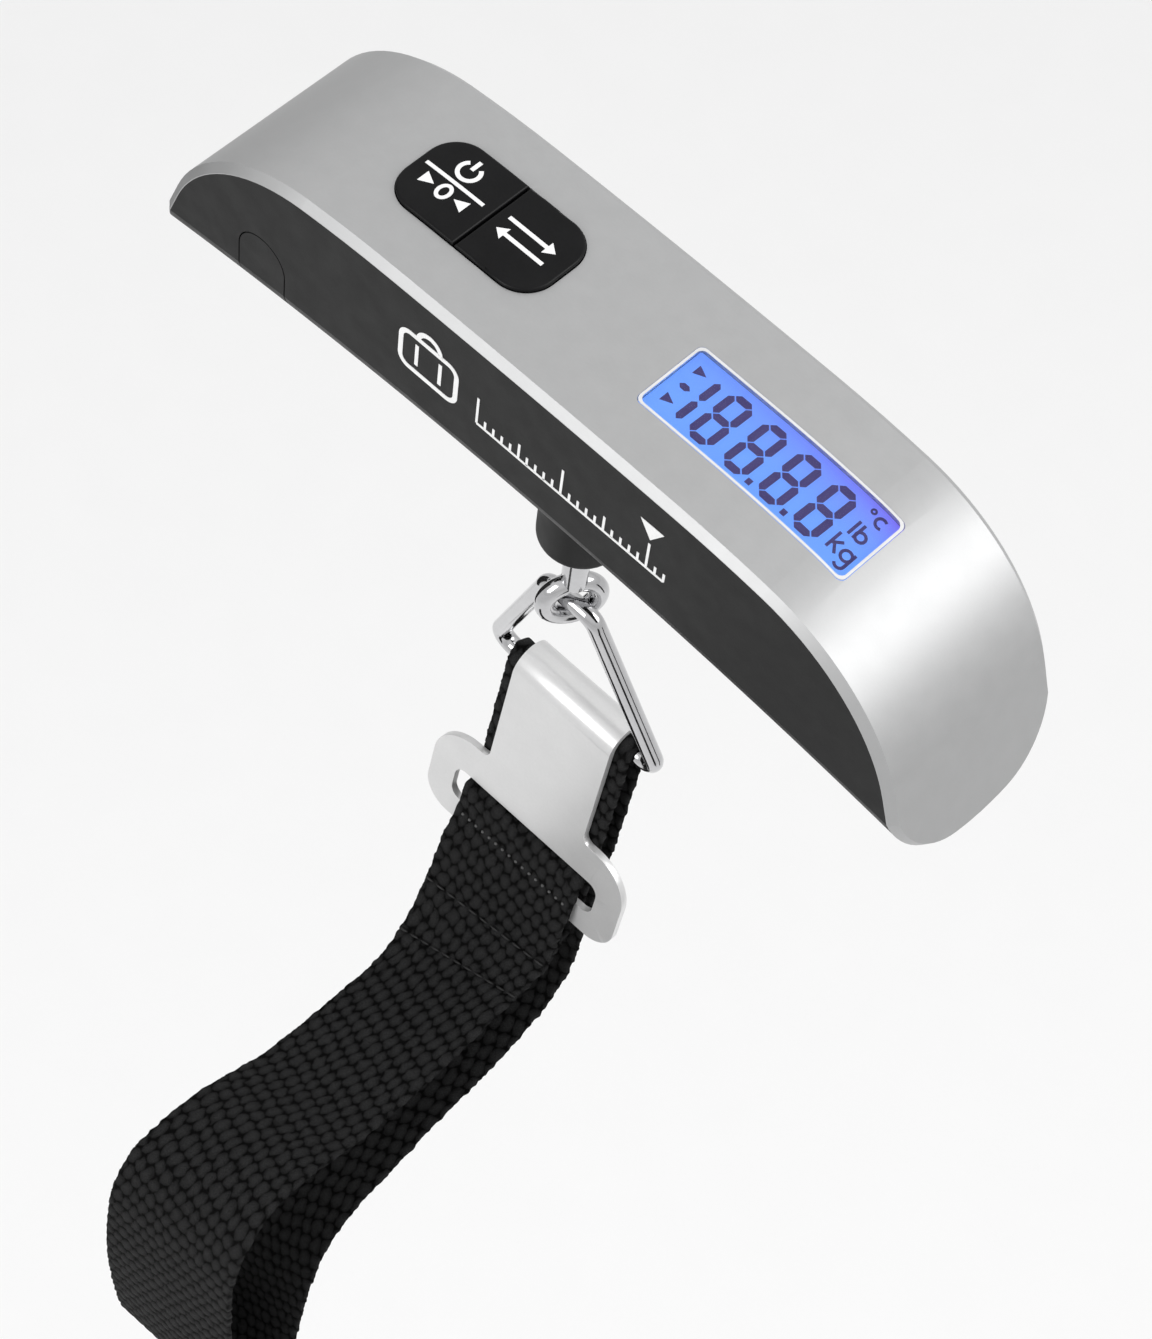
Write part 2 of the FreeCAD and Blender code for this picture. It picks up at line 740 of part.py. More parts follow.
load_cell = plate_body("load_cell", "Dims.load_cell_length", "Dims.load_cell_width",
                       "Dims.load_cell_height", z="Dims.load_cell_bottom")
bolt_holes = new_sketch(load_cell, "load_cell_holes", "XY_Plane", "Dims.load_cell_bottom")
add_circle(bolt_holes, "Dims.shaft_hole_radius")
for side_x in ("Dims.load_screw_x", "-Dims.load_screw_x"):
    for side_y in ("Dims.load_screw_y", "-Dims.load_screw_y"):
        add_circle(bolt_holes, "Dims.load_screw_radius", side_x, side_y)
add_through_pocket(load_cell, bolt_holes)
flexures = new_sketch(load_cell, "load_cell_flexures", "XZ_Plane")
for side_x in ("Dims.flexure_inner", "Dims.flexure_outer", "-Dims.flexure_inner",
               "-Dims.flexure_outer"):
    add_circle(flexures, "Dims.flexure_radius", side_x,
               "Dims.load_cell_bottom + Dims.load_cell_height / 2")
add_through_pocket(load_cell, flexures)


def build_gauges():
    gauges = []
    for x in (-size("flexure_outer"), -size("flexure_inner"),
              size("flexure_inner"), size("flexure_outer")):
        base = size("load_cell_bottom") + size("load_cell_height")
        gauges.append(box(x - size("gauge_length") / 2, x + size("gauge_length") / 2,
                          -size("gauge_width") / 2, size("gauge_width") / 2,
                          base, base + size("gauge_thickness")))
    return Part.makeCompound(gauges)


solid_feature("strain_gauges", build_gauges())

frame = plate_body("support_frame", "Dims.frame_plate_length", "Dims.frame_plate_width",
                   "Dims.frame_plate_thickness", z="Dims.frame_plate_bottom")
blocks = new_sketch(frame, "support_frame_blocks", "XY_Plane",
                    "Dims.frame_plate_bottom + Dims.frame_plate_thickness")
for side_x in ("Dims.load_screw_x", "-Dims.load_screw_x"):
    add_rectangle(blocks, "Dims.frame_block_length", "Dims.frame_plate_width", side_x)
add_pad(frame, blocks,
        "Dims.load_cell_bottom - Dims.frame_plate_bottom - Dims.frame_plate_thickness")
frame_holes = new_sketch(frame, "support_frame_holes", "XY_Plane", "Dims.frame_plate_bottom")
add_circle(frame_holes, "Dims.frame_hole_radius")
for side_x in ("Dims.load_screw_x", "-Dims.load_screw_x"):
    for side_y in ("Dims.load_screw_y", "-Dims.load_screw_y"):
        add_circle(frame_holes, "Dims.load_screw_radius", side_x, side_y)
add_through_pocket(frame, frame_holes)

LOAD_CELL_TOP = size("load_cell_bottom") + size("load_cell_height")
load_screws = []
for x in (-size("load_screw_x"), size("load_screw_x")):
    for y in (-size("load_screw_y"), size("load_screw_y")):
        load_screws.append(screw(x, y, LOAD_CELL_TOP, LOAD_CELL_TOP - size("frame_plate_bottom"),
                                 size("load_screw_radius"), size("load_screw_head"),
                                 size("load_screw_head_height")))
solid_feature("load_cell_screws", Part.makeCompound(load_screws))


def build_wires():
    """Four thin wires from the strain gauges up to the underside of the board."""
    wires = []
    shift = size("wire_shift")
    bend = size("wire_bend")
    for x in (-size("flexure_outer"), -size("flexure_inner"),
              size("flexure_inner"), size("flexure_outer")):
        start = vec(x, 0, LOAD_CELL_TOP + size("gauge_thickness"))
        knee = start + vec(0, 0, size("wire_rise"))
        end = vec(x + shift, 0, size("board_bottom"))
        path = rounded_path([start, knee, vec(x + shift, 0, knee.z), end], [bend, bend])
        ring = Part.Wire(Part.makeCircle(size("wire_radius"), start, Z_AXIS))
        wires.append(path.makePipeShell([ring], True, True))
    return Part.makeCompound(wires)


solid_feature("signal_wires", build_wires())

solid_feature("housing_screws", Part.makeCompound([
    screw(-x, 0, 0, size("housing_screw_length"), size("housing_screw_radius"),
          size("housing_screw_head") - 0.1, 1.3).rotated(vec(0, 0, 0), Y_AXIS, 180)
    .translated(vec(0, 0, size("housing_screw_seat")))
    for x in (size("housing_screw_left"), size("housing_screw_right"))]))

# ---------------------------------------------------------------- eye bolt, washer and nut


def build_eye_bolt():
    """Straight shaft whose lower end is closed into a round eye."""
    eye = Part.makeTorus(size("eye_major"), size("eye_wire"), vec(0, 0, 0), X_AXIS)
    eye.rotate(vec(0, 0, 0), Z_AXIS, -(90 - size("eye_turn")))
    eye.translate(vec(0, 0, size("eye_z")))
    shaft = cylinder(size("shaft_radius"), 0, 0, size("eye_z") + size("eye_major"), size("shaft_top"))
    return shaft.fuse(eye).removeSplitter()


solid_feature("eye_bolt", build_eye_bolt())

WASHER_BOTTOM = LOAD_CELL_TOP + size("washer_gap")
solid_feature("thrust_washer",
              cylinder(size("washer_radius"), 0, 0, WASHER_BOTTOM, WASHER_BOTTOM + size("washer_thickness"))
              .cut(cylinder(size("shaft_radius"), 0, 0, 0, size("shaft_top"))))


def build_nut():
    base = WASHER_BOTTOM + size("washer_thickness")
    corner = size("nut_across_flats") / 2 / math.cos(math.radians(30))
    points = [vec(0, 0, base) + vec(corner * math.cos(a), corner * math.sin(a), 0)
              for a in (math.radians(60 * k) for k in range(7))]
    hexagon = Part.Face(Part.makePolygon(points)).extrude(vec(0, 0, size("nut_height")))
    return hexagon.cut(cylinder(size("shaft_radius"), 0, 0, 0, size("shaft_top")))


solid_feature("retaining_nut", build_nut())

# ---------------------------------------------------------------- wire ring

RING_TOP = vec(0, 0, size("ring_top_z"))
RING_BAR = vec(0, size("ring_bar_y"), size("ring_bar_z"))


def build_ring():
    """Closed wire trapezoid, built as two mirrored halves that meet on the YZ plane."""
    top_corner = RING_TOP + vec(size("ring_top_half"), 0, 0)
    bar_corner = RING_BAR + vec(size("ring_bar_half"), 0, 0)
    path = rounded_path([RING_TOP, top_corner, bar_corner, RING_BAR],
                        [size("ring_top_bend"), size("ring_bar_bend")])
    circle = Part.Wire(Part.makeCircle(size("ring_wire"), RING_TOP, X_AXIS))
    half = path.makePipeShell([circle], True, True)
    return half.fuse(half.mirror(vec(0, 0, 0), X_AXIS)).removeSplitter()


solid_feature("wire_ring", build_ring())

# ---------------------------------------------------------------- hook plate

HOOK_PLACE = FreeCAD.Placement(RING_BAR, FreeCAD.Rotation(X_AXIS, size("hook_tilt")))


def build_hook():
    """Flat plate with a tongue rolled over the ring's bar and a slot for the strap below."""
    inner = size("hook_inner")
    thick = size("hook_thickness")
    front = -(inner + thick)
    tongue = size("tongue_half")
    ear = size("ear_half")
    top = -size("ear_top")
    bottom = -size("ear_bottom")
    corner = size("ear_corner")
    right = [vec(0, 0, 0), vec(tongue, 0, 0), vec(tongue, 0, top), vec(ear, 0, top),
             vec(ear, 0, bottom), vec(0, 0, bottom)]
    bends = [0, corner, size("ear_round"), size("ear_foot_round")]
    path = rounded_path(right, bends)
    half = Part.Face(Part.Wire(path.Edges + [Part.makeLine(right[-1], right[0])]))
    half.translate(vec(0, front, 0))
    plate = half.extrude(vec(0, thick, 0))
    plate = plate.fuse(plate.mirror(vec(0, 0, 0), X_AXIS)).removeSplitter()
    slot_half = size("slot_half")
    slot = box(-slot_half, slot_half, front - 1, front + thick + 1,
               -size("slot_bottom"), -size("slot_top"))
    slot_edges = [e for e in slot.Edges if abs(e.Vertexes[0].Y - e.Vertexes[1].Y) > 0.1]
    plate = plate.cut(slot.makeFillet(size("slot_round"), slot_edges))
    roll = Part.makeCylinder(inner + thick, 2 * tongue, vec(-tongue, 0, 0), X_AXIS)
    roll = roll.cut(Part.makeCylinder(inner, 2 * tongue, vec(-tongue, 0, 0), X_AXIS))
    roll = roll.common(box(-tongue, tongue, front - 1, -front + 1, 0, inner + thick + 1))
    flap = box(-tongue, tongue, inner, inner + thick, -size("flap_drop"), 0)
    flap_ends = [e for e in flap.Edges
                 if abs(e.Vertexes[0].Y - e.Vertexes[1].Y) > 0.1 and e.Vertexes[0].Z < -1]
    hook = plate.fuse(roll).fuse(flap.makeFillet(size("flap_round"), flap_ends)).removeSplitter()
    return hook


hook_feature = solid_feature("hook_plate", build_hook())
hook_feature.Placement = HOOK_PLACE

# ---------------------------------------------------------------- strap


def hook_point(y, z):
    """A point given in the hook's own frame, in the frame of the whole part."""
    return HOOK_PLACE.multVec(vec(0, y, z))


BAR_TURN = size("ring_wire") + size("strap_play") + size("strap_thickness") / 2
SLOT_CENTRE_Y = -size("hook_inner") - size("hook_thickness") / 2
SLOT_TURN = (size("hook_thickness") + size("strap_thickness")) / 2 + size("strap_slot_play")


def strap_path():
    """Middle line of the webbing, from its end at the hook's slot round to its end at the ring."""
    over = BAR_TURN
    near = SLOT_CENTRE_Y + SLOT_TURN
    far = SLOT_CENTRE_Y - SLOT_TURN
    top = -size("slot_top") - size("strap_slot_play") - size("strap_thickness") / 2
    points = [
        hook_point(near, -size("ear_bottom") - 5.0),
        hook_point(near, top),
        hook_point(far, top),
        vec(0, -9.6, -119.0),
        vec(0, -20.0, -130.5),
        vec(0, -36.0, -132.0),
        vec(0, -50.0, -129.0),
        vec(0, -66.0, -124.0),
        vec(0, -76.5, -135.0),
        vec(0, -78.0, -160.0),
        vec(0, -76.0, -196.0),
        vec(0, -61.5, -194.0),
        vec(0, -58.5, -166.0),
        vec(0, -50.0, -152.5),
        vec(0, -16.0, -141.5),
        vec(0, -3.5, -131.0),
        vec(0, 2.0, -105.0),
        hook_point(over, -12.0),
        hook_point(over, over),
        hook_point(-over, over),
        hook_point(-over, -8.0),
    ]
    turn = SLOT_TURN * 0.95
    bends = [turn, turn, 20.0, 8.0, 20.0, 14.0, 7.0, 12.0, 40.0, 6.5, 6.5, 30.0, 12.0, 14.0, 14.0,
             30.0, 30.0, over, over]
    return rounded_path(points, bends)


def build_strap():
    """Webbing of even thickness swept along its middle line."""
    path = strap_path()
    start = path.Edges[0].valueAt(path.Edges[0].FirstParameter)
    along = path.Edges[0].tangentAt(path.Edges[0].FirstParameter)
    side = along.cross(X_AXIS).normalize() * (size("strap_thickness") / 2)
    half = X_AXIS * (size("strap_width") / 2)
    corners = [start - half - side, start + half - side, start + half + side, start - half + side]
    profile = Part.makePolygon(corners + corners[:1])
    return path.makePipeShell([profile], True, False)


solid_feature("strap", build_strap())


# ---------------------------------------------------------------- checks and files

doc.recompute()
os.makedirs("parts", exist_ok=True)
for item in doc.Objects:
    if {"Invalid", "Error"} & set(item.State):
        raise RuntimeError(f"{item.Name} did not build: {item.State}")
pieces = [item for item in doc.Objects if item.TypeId in ("PartDesign::Body", "Part::Feature")]
for piece in pieces:
    if piece.Shape.isNull() or not piece.Shape.isValid():
        raise RuntimeError(f"{piece.Label} has no valid shape")
    piece.Shape.exportStep(f"parts/{piece.Label}.step")
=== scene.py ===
import json
import math

import bpy
from mathutils import Euler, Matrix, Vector, noise
from mathutils.bvhtree import BVHTree


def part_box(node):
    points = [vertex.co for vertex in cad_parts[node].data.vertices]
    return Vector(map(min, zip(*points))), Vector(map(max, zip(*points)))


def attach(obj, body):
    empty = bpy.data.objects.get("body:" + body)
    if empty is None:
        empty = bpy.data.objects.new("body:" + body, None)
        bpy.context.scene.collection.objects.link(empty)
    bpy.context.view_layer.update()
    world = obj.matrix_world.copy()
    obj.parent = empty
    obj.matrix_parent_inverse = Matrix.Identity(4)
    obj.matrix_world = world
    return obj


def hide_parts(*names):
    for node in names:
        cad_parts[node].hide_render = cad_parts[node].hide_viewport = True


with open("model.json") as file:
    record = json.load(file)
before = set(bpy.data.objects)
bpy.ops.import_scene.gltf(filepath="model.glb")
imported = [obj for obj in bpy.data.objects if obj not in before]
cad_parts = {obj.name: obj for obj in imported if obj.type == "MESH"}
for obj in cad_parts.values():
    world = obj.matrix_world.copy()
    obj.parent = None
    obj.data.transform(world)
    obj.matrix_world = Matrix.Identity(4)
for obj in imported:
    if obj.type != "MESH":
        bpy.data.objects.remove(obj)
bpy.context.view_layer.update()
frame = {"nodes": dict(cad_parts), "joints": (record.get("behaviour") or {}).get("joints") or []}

# Digital luggage scale. Everything is in metres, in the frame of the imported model: X runs along the
# body, -Y is its front face, +Z is up.

MM = 0.001

# ---------------------------------------------------------------- node tree helpers


class Shader:
    """One procedural material, with short calls for the nodes that this scene uses."""

    def __init__(self, name):
        self.material = bpy.data.materials.new(name)
        self.material.use_nodes = True
        self.tree = self.material.node_tree
        self.surface = self.tree.nodes["Principled BSDF"]
        self.place = self.tree.nodes.new("ShaderNodeTexCoord").outputs["Object"]

    def link(self, source, target):
        self.tree.links.new(source, target)

    def uniform(self, **values):
        """Set sockets of the surface shader to plain values."""
        for socket, value in values.items():
            self.surface.inputs[socket.replace("_", " ")].default_value = value

    def noise(self, grain, detail=3.0, place=None, stretch=(1, 1, 1)):
        """Noise whose grains are about that many millimetres, drawn out along the stretched axes."""
        mapping = self.tree.nodes.new("ShaderNodeMapping")
        mapping.inputs["Scale"].default_value = [1 / (grain * MM * s) for s in stretch]
        self.link(place or self.place, mapping.inputs["Vector"])
        noise = self.tree.nodes.new("ShaderNodeTexNoise")
        noise.inputs["Scale"].default_value = 1.0
        noise.inputs["Detail"].default_value = detail
        self.link(mapping.outputs["Vector"], noise.inputs["Vector"])
        return noise.outputs["Fac"]

    def math(self, operation, first, second=0.0):
        node = self.tree.nodes.new("ShaderNodeMath")
        node.operation = operation
        for socket, value in zip(node.inputs, (first, second)):
            if isinstance(value, (int, float)):
                socket.default_value = value
            else:
                self.link(value, socket)
        return node.outputs["Value"]

    def spread(self, value, low, high, start=0.3, end=0.7):
        """Move a value's middle range onto low..high."""
        node = self.tree.nodes.new("ShaderNodeMapRange")
        node.inputs["From Min"].default_value = start
        node.inputs["From Max"].default_value = end
        node.inputs["To Min"].default_value = low
        node.inputs["To Max"].default_value = high
        self.link(value, node.inputs["Value"])
        return node.outputs["Result"]

    def blend(self, factor, first, second):
        """Mix two colours, each a tuple or a socket."""
        node = self.tree.nodes.new("ShaderNodeMix")
        node.data_type = "RGBA"
        self.link(factor, node.inputs["Factor"])
        for socket, colour in ((node.inputs["A"], first), (node.inputs["B"], second)):
            if isinstance(colour, tuple):
                socket.default_value = (*colour, 1.0)
            else:
                self.link(colour, socket)
        return node.outputs["Result"]

    def colour(self, value):
        self.link(value, self.surface.inputs["Base Color"])

    def roughness(self, value):
        self.link(value, self.surface.inputs["Roughness"])

    def bump(self, height, depth, strength=1.0):
        """Raise the surface by the height value times depth millimetres."""
        node = self.tree.nodes.new("ShaderNodeBump")
        node.inputs["Strength"].default_value = strength
        node.inputs["Distance"].default_value = depth * MM
        self.link(height, node.inputs["Height"])
        self.link(node.outputs["Normal"], self.surface.inputs["Normal"])


def mottled(name, dark, light, rough, grain, depth, metallic=0.0, stretch=(1, 1, 1)):
    """A finish with a fine grain, slow colour drift and uneven gloss."""
    shader = Shader(name)
    drift = shader.noise(grain * 12, detail=2.0)
    fine = shader.noise(grain, detail=4.0, stretch=stretch)
    mixed = shader.math("ADD", shader.math("MULTIPLY", drift, 0.6), shader.math("MULTIPLY", fine, 0.4))
    shader.colour(shader.blend(shader.spread(mixed, 0, 1), dark, light))
    shader.roughness(shader.spread(drift, rough[0], rough[1]))
    shader.bump(fine, depth)
    shader.uniform(Metallic=metallic)
    return shader


def lit(name, colour, strength):
    """A segment with its own dim light, a little uneven across its face."""
    shader = Shader(name)
    drift = shader.spread(shader.noise(4.0), 0.85, 1.0)
    dim = tuple(c * 0.8 for c in colour)
    glow = shader.blend(drift, dim, colour)
    shader.colour(glow)
    shader.link(glow, shader.surface.inputs["Emission Color"])
    shader.uniform(Emission_Strength=strength)
    shader.roughness(drift)
    return shader


# ---------------------------------------------------------------- materials

silver = mottled("silver_lacquer", (0.440, 0.442, 0.444), (0.465, 0.467, 0.469), (0.46, 0.49), 0.22, 0.004,
                 metallic=0.65, stretch=(3, 1, 1))
black = mottled("housing_black", (0.005, 0.005, 0.005), (0.010, 0.010, 0.010), (0.45, 0.55), 0.3, 0.008)
black.uniform(Specular_IOR_Level=0.2)
key_black = mottled("key_black", (0.0035, 0.0035, 0.0038), (0.0065, 0.0065, 0.007), (0.34, 0.42), 0.4, 0.003)
key_black.uniform(Specular_IOR_Level=0.15)
chrome = mottled("chrome", (0.52, 0.52, 0.53), (0.62, 0.62, 0.63), (0.07, 0.13), 0.8, 0.003, metallic=1.0)
nickel = mottled("nickel_plate", (0.66, 0.66, 0.66), (0.71, 0.71, 0.71), (0.30, 0.34), 0.5, 0.0004,
                 metallic=0.45)
white_print = mottled("white_print", (0.78, 0.78, 0.78), (0.88, 0.88, 0.88), (0.4, 0.5), 0.3, 0.002)
steel = mottled("zinc_steel", (0.45, 0.45, 0.46), (0.58, 0.58, 0.60), (0.3, 0.45), 0.4, 0.004, metallic=1.0)
brass = mottled("brass", (0.55, 0.40, 0.16), (0.70, 0.54, 0.26), (0.25, 0.4), 0.4, 0.004, metallic=1.0)
board_green = mottled("board_green", (0.015, 0.10, 0.035), (0.03, 0.16, 0.06), (0.3, 0.4), 0.5, 0.01)
pale_plastic = mottled("pale_plastic", (0.62, 0.62, 0.60), (0.72, 0.72, 0.70), (0.4, 0.5), 0.4, 0.006)
film = mottled("gauge_film", (0.40, 0.18, 0.05), (0.55, 0.30, 0.10), (0.3, 0.4), 0.3, 0.004)
wire_red = mottled("wire_red", (0.35, 0.02, 0.02), (0.50, 0.05, 0.04), (0.4, 0.5), 0.3, 0.004)
digit_dark = lit("digit_dark", (0.030, 0.024, 0.085), 1.0)

thread_grey = mottled("thread_grey", (0.06, 0.06, 0.06), (0.11, 0.11, 0.11), (0.5, 0.6), 0.2, 0.01)
thread_black = mottled("thread_black", (0.002, 0.002, 0.002), (0.008, 0.008, 0.008), (0.5, 0.6), 0.2, 0.01)
# Pale grey for the ring round the display opening: a painted highlight of the opening's chamfered edge.
bezel_painted_highlight = mottled("bezel_painted_highlight", (0.62, 0.62, 0.62), (0.72, 0.72, 0.72), (0.3, 0.4), 0.3, 0.002)

window = Shader("window_clear")
window.colour(window.blend(window.noise(6.0), (0.96, 0.97, 1.0), (1.0, 1.0, 1.0)))
window.roughness(window.spread(window.noise(2.0), 0.0, 0.02))
window.uniform(Transmission_Weight=1.0, IOR=1.08)


def lit_panel():
    """The backlit display: blue, turning violet towards the far long edge."""
    shader = Shader("lcd_lit")
    split = shader.tree.nodes.new("ShaderNodeSeparateXYZ")
    shader.link(shader.place, split.inputs["Vector"])
    across = shader.spread(split.outputs["Y"], 0, 1, start=-5.5 * MM, end=5.4 * MM)
    along = shader.spread(split.outputs["X"], 0, 1, start=11 * MM, end=45 * MM)
    violet = shader.math("POWER", shader.math("MULTIPLY", across, shader.spread(along, 0.5, 1.0, 0, 1)), 2.5)
    drift = shader.spread(shader.noise(5.0), 0.9, 1.0)
    glow = shader.blend(violet, (0.15, 0.35, 1.0), (0.20, 0.15, 0.85))
    shader.colour(shader.blend(drift, (0.01, 0.02, 0.05), (0.02, 0.04, 0.10)))
    shader.link(shader.blend(drift, (0.08, 0.20, 0.80), glow), shader.surface.inputs["Emission Color"])
    shader.uniform(Emission_Strength=1.0)
    shader.roughness(drift)
    return shader


lcd_blue = lit_panel()

NODE_FINISH = {
    "top_cover": silver,
    "lower_housing": black,
    "battery_door": black,
    "power_key": key_black,
    "unit_key": key_black,
    "display_window": window,
    "lcd_glass": lcd_blue,
    "lcd_frame": pale_plastic,
    "backlight_panel": pale_plastic,
    "display_pins": steel,
    "main_board": board_green,
    "controller_chip": key_black,
    "key_switches": steel,
    "board_screws": steel,
    "battery_tray": black,
    "coin_cell": steel,
    "contact_negative": brass,
    "contact_positive": brass,
    "load_cell": nickel,
    "strain_gauges": film,
    "support_frame": steel,
    "load_cell_screws": steel,
    "signal_wires": wire_red,
    "housing_screws": steel,
    "eye_bolt": chrome,
    "thrust_washer": brass,
    "retaining_nut": steel,
    "wire_ring": chrome,
    "hook_plate": nickel,
}


def paint(piece, shader):
    piece.data.materials.clear()
    piece.data.materials.append(shader.material)


for node, shader in NODE_FINISH.items():
    paint(frame["nodes"][node], shader)


def ease_edges(node, width):
    """Soften the cut edges of a CAD node as it is drawn."""
    piece = frame["nodes"][node]
    weld = piece.modifiers.new("weld", "WELD")
    weld.merge_threshold = 1e-6
    bevel = piece.modifiers.new("bevel", "BEVEL")
    bevel.width = width * MM
    bevel.segments = 3
    bevel.limit_method = "ANGLE"
    bevel.angle_limit = math.radians(40)
    bevel.harden_normals = True


ease_edges("hook_plate", 0.22)

# ---------------------------------------------------------------- mesh helpers


def new_piece(name, points, faces, shader, body, smooth=True):
    mesh = bpy.data.meshes.new(name)
    mesh.from_pydata([tuple(p) for p in points], [], faces)
    mesh.update()
    piece = bpy.data.objects.new(name, mesh)
    bpy.context.scene.collection.objects.link(piece)
    for polygon in mesh.polygons:
        polygon.use_smooth = smooth
    paint(piece, shader)
    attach(piece, body)
    return piece


def catmull(points, steps):
    """Smooth curve through the points, as a list of steps points per span."""
    ends = [points[0] * 2 - points[1]] + points + [points[-1] * 2 - points[-2]]
    curve = []
    for index in range(1, len(ends) - 2):
        before, start, stop, after = ends[index - 1:index + 3]
        for step in range(steps):
            t = step / steps
            curve.append(0.5 * (2 * start + (stop - before) * t
                                + (2 * before - 5 * start + 4 * stop - after) * t * t
                                + (3 * start - before - 3 * stop + after) * t ** 3))
    curve.append(points[-1])
    return curve


# ---------------------------------------------------------------- places taken from the frame

JOINTS = {joint["name"]: joint for joint in frame["joints"]}
BAR = Vector(JOINTS["hook_swing"]["pos_m"])
HOOK_TILT = math.radians(-8.34)


def hook_point(x, y, z):
    """A place in the hook's own frame, whose origin is the ring's bar and whose -Z runs down the plate."""
    turned = Vector((x, y * math.cos(HOOK_TILT) - z * math.sin(HOOK_TILT),
                     y * math.sin(HOOK_TILT) + z * math.cos(HOOK_TILT)))
    return BAR + turned


# ---------------------------------------------------------------- strap

WEB_WIDTH = 25.4 * MM
WEB_THICK = 1.0 * MM
BAR_TURN = 2.0 * MM
WRAP_BACK = -1.8 * MM
WRAP_FRONT = -4.55 * MM
WRAP_Z = -31.2 * MM
WEB_COLUMNS = 76
SECTION_GAP = 0.3 * MM
FRONT_RUN = (24 * MM, 90 * MM)

# The weave: how far a yarn's bump rises, the steps to the next column and to the next yarn ahead, and
# half the bump's size across and along, in millimetres.
YARN_RISE = 0.2 * MM
YARN_NEXT = (1.86, 0.66)
YARN_AHEAD = (-1.1, 2.6)
YARN_AREA = YARN_NEXT[0] * YARN_AHEAD[1] - YARN_NEXT[1] * YARN_AHEAD[0]
YARN_HALF = (1.06, 1.6)
UNEVEN_GRAIN = 2.6 * MM
UNEVEN_SHIFT = Vector((31.0, 17.0, 5.0))
SELVEDGE_SHARE = 0.08
SELVEDGE_ROUGH = 0.45 * MM

# Where sewn rows pull the webbing in, as y, z in millimetres. The depth is in yarn rises.
SEAM_PLACES = ((-9.4, -120.8), (-15.6, -128.0))
SEAM_HALF = 0.8 * MM
SEAM_DEPTH = 1.6

# The webbing's sewn end behind the plate, in the hook's own frame: y, z, then its lean, in millimetres.
STRAP_TAIL = [
    (-8.4, -54.5, 3.4),
    (-6.7, -50.5, 1.8),
    (-5.6, -47.0, 0.8),
    (-3.6, -43.6, 0.2),
    (-1.9, -40.2, 0),
    (-1.8, -35.0, 0),
]
RISE_TO_BAR = (-22, -12, -5)
FALL_FROM_BAR = (-5, -12, -20, -27)

# Middle line of the webbing below the hook: y, z, then how far the right edge lies ahead of the left
# edge along y and z, all in millimetres.
STRAP_ROUTE = [
    (-4.7, -106.8, 0.0, 0.0),
    (-7.0, -112.5, 1.2, 0.3),
    (-9.5, -119.8, 1.2, 1.8),
    (-14.0, -127.0, 1.8, 6.5),
    (-21.0, -130.4, 1.5, 10.0),
    (-32.0, -131.5, 0.5, 9.2),
    (-45.0, -131.2, 0.0, 8.6),
    (-53.0, -128.6, 0.0, 7.6),
    (-60.5, -126.0, 0.3, 6.8),
    (-68.0, -126.4, 1.4, 5.8),
    (-73.2, -130.3, 1.6, 2.8),
    (-76.2, -137.4, 2.2, 1.0),
    (-77.3, -145.5, 2.9, 0.4),
    (-77.6, -159.0, 3.6, 0.0),
    (-77.0, -176.0, 2.5, 0.0),
    (-75.8, -188.0, 1.2, 0.0),
    (-72.5, -194.0, 0.4, 0.0),
    (-68.0, -195.4, 0.0, 0.0),
    (-64.2, -193.0, 0.0, 0.6),
    (-61.9, -185.0, 1.2, 1.0),
    (-59.4, -169.0, 1.8, 2.0),
    (-54.8, -159.0, 1.2, 4.6),
    (-47.0, -153.4, 1.0, 5.4),
    (-38.5, -150.6, 0.5, 5.2),
    (-30.0, -147.6, 0.5, 5.0),
    (-22.0, -145.2, 1.0, 4.0),
    (-13.8, -141.2, 1.5, 2.6),
    (-7.4, -136.0, 1.5, 1.0),
    (-3.2, -129.5, 1.0, 0.0),
    (-0.6, -119.0, 0.6, 0.0),
    (1.2, -108.0, 0.4, 0.0),
]


def turn_points(centre_y, centre_z, radius, start, stop, count):
    """Points on an arc in the hook's own YZ plane, angles in degrees from +Y towards +Z."""
    points = []
    for index in range(count + 1):
        angle = math.radians(start + (stop - start) * index / count)
        points.append(hook_point(0, centre_y + radius * math.cos(angle), centre_z + radius * math.sin(angle)))
    return points


def strap_sections():
    """(middle, lean) along the strap, lean being half the way from the left edge to the right."""
    slot_y = (WRAP_BACK + WRAP_FRONT) / 2
    slot_radius = (WRAP_BACK - WRAP_FRONT) / 2
    line = [(hook_point(0, y * MM, z * MM), Vector((0, lean, lean)) * MM / 2) for y, z, lean in STRAP_TAIL]
    line += [(p, Vector()) for p in turn_points(slot_y, WRAP_Z, slot_radius, 0, 180, 6)]
    for y, z, lean_y, lean_z in STRAP_ROUTE:
        line.append((Vector((0, y, z)) * MM, Vector((0, lean_y, lean_z)) * MM / 2))
    for z in RISE_TO_BAR:
        line.append((hook_point(0, BAR_TURN, z * MM), Vector()))
    line += [(p, Vector()) for p in turn_points(0, 0, BAR_TURN, 0, 180, 6)]
    for z in FALL_FROM_BAR:
        line.append((hook_point(0, -BAR_TURN, z * MM), Vector()))
    return line


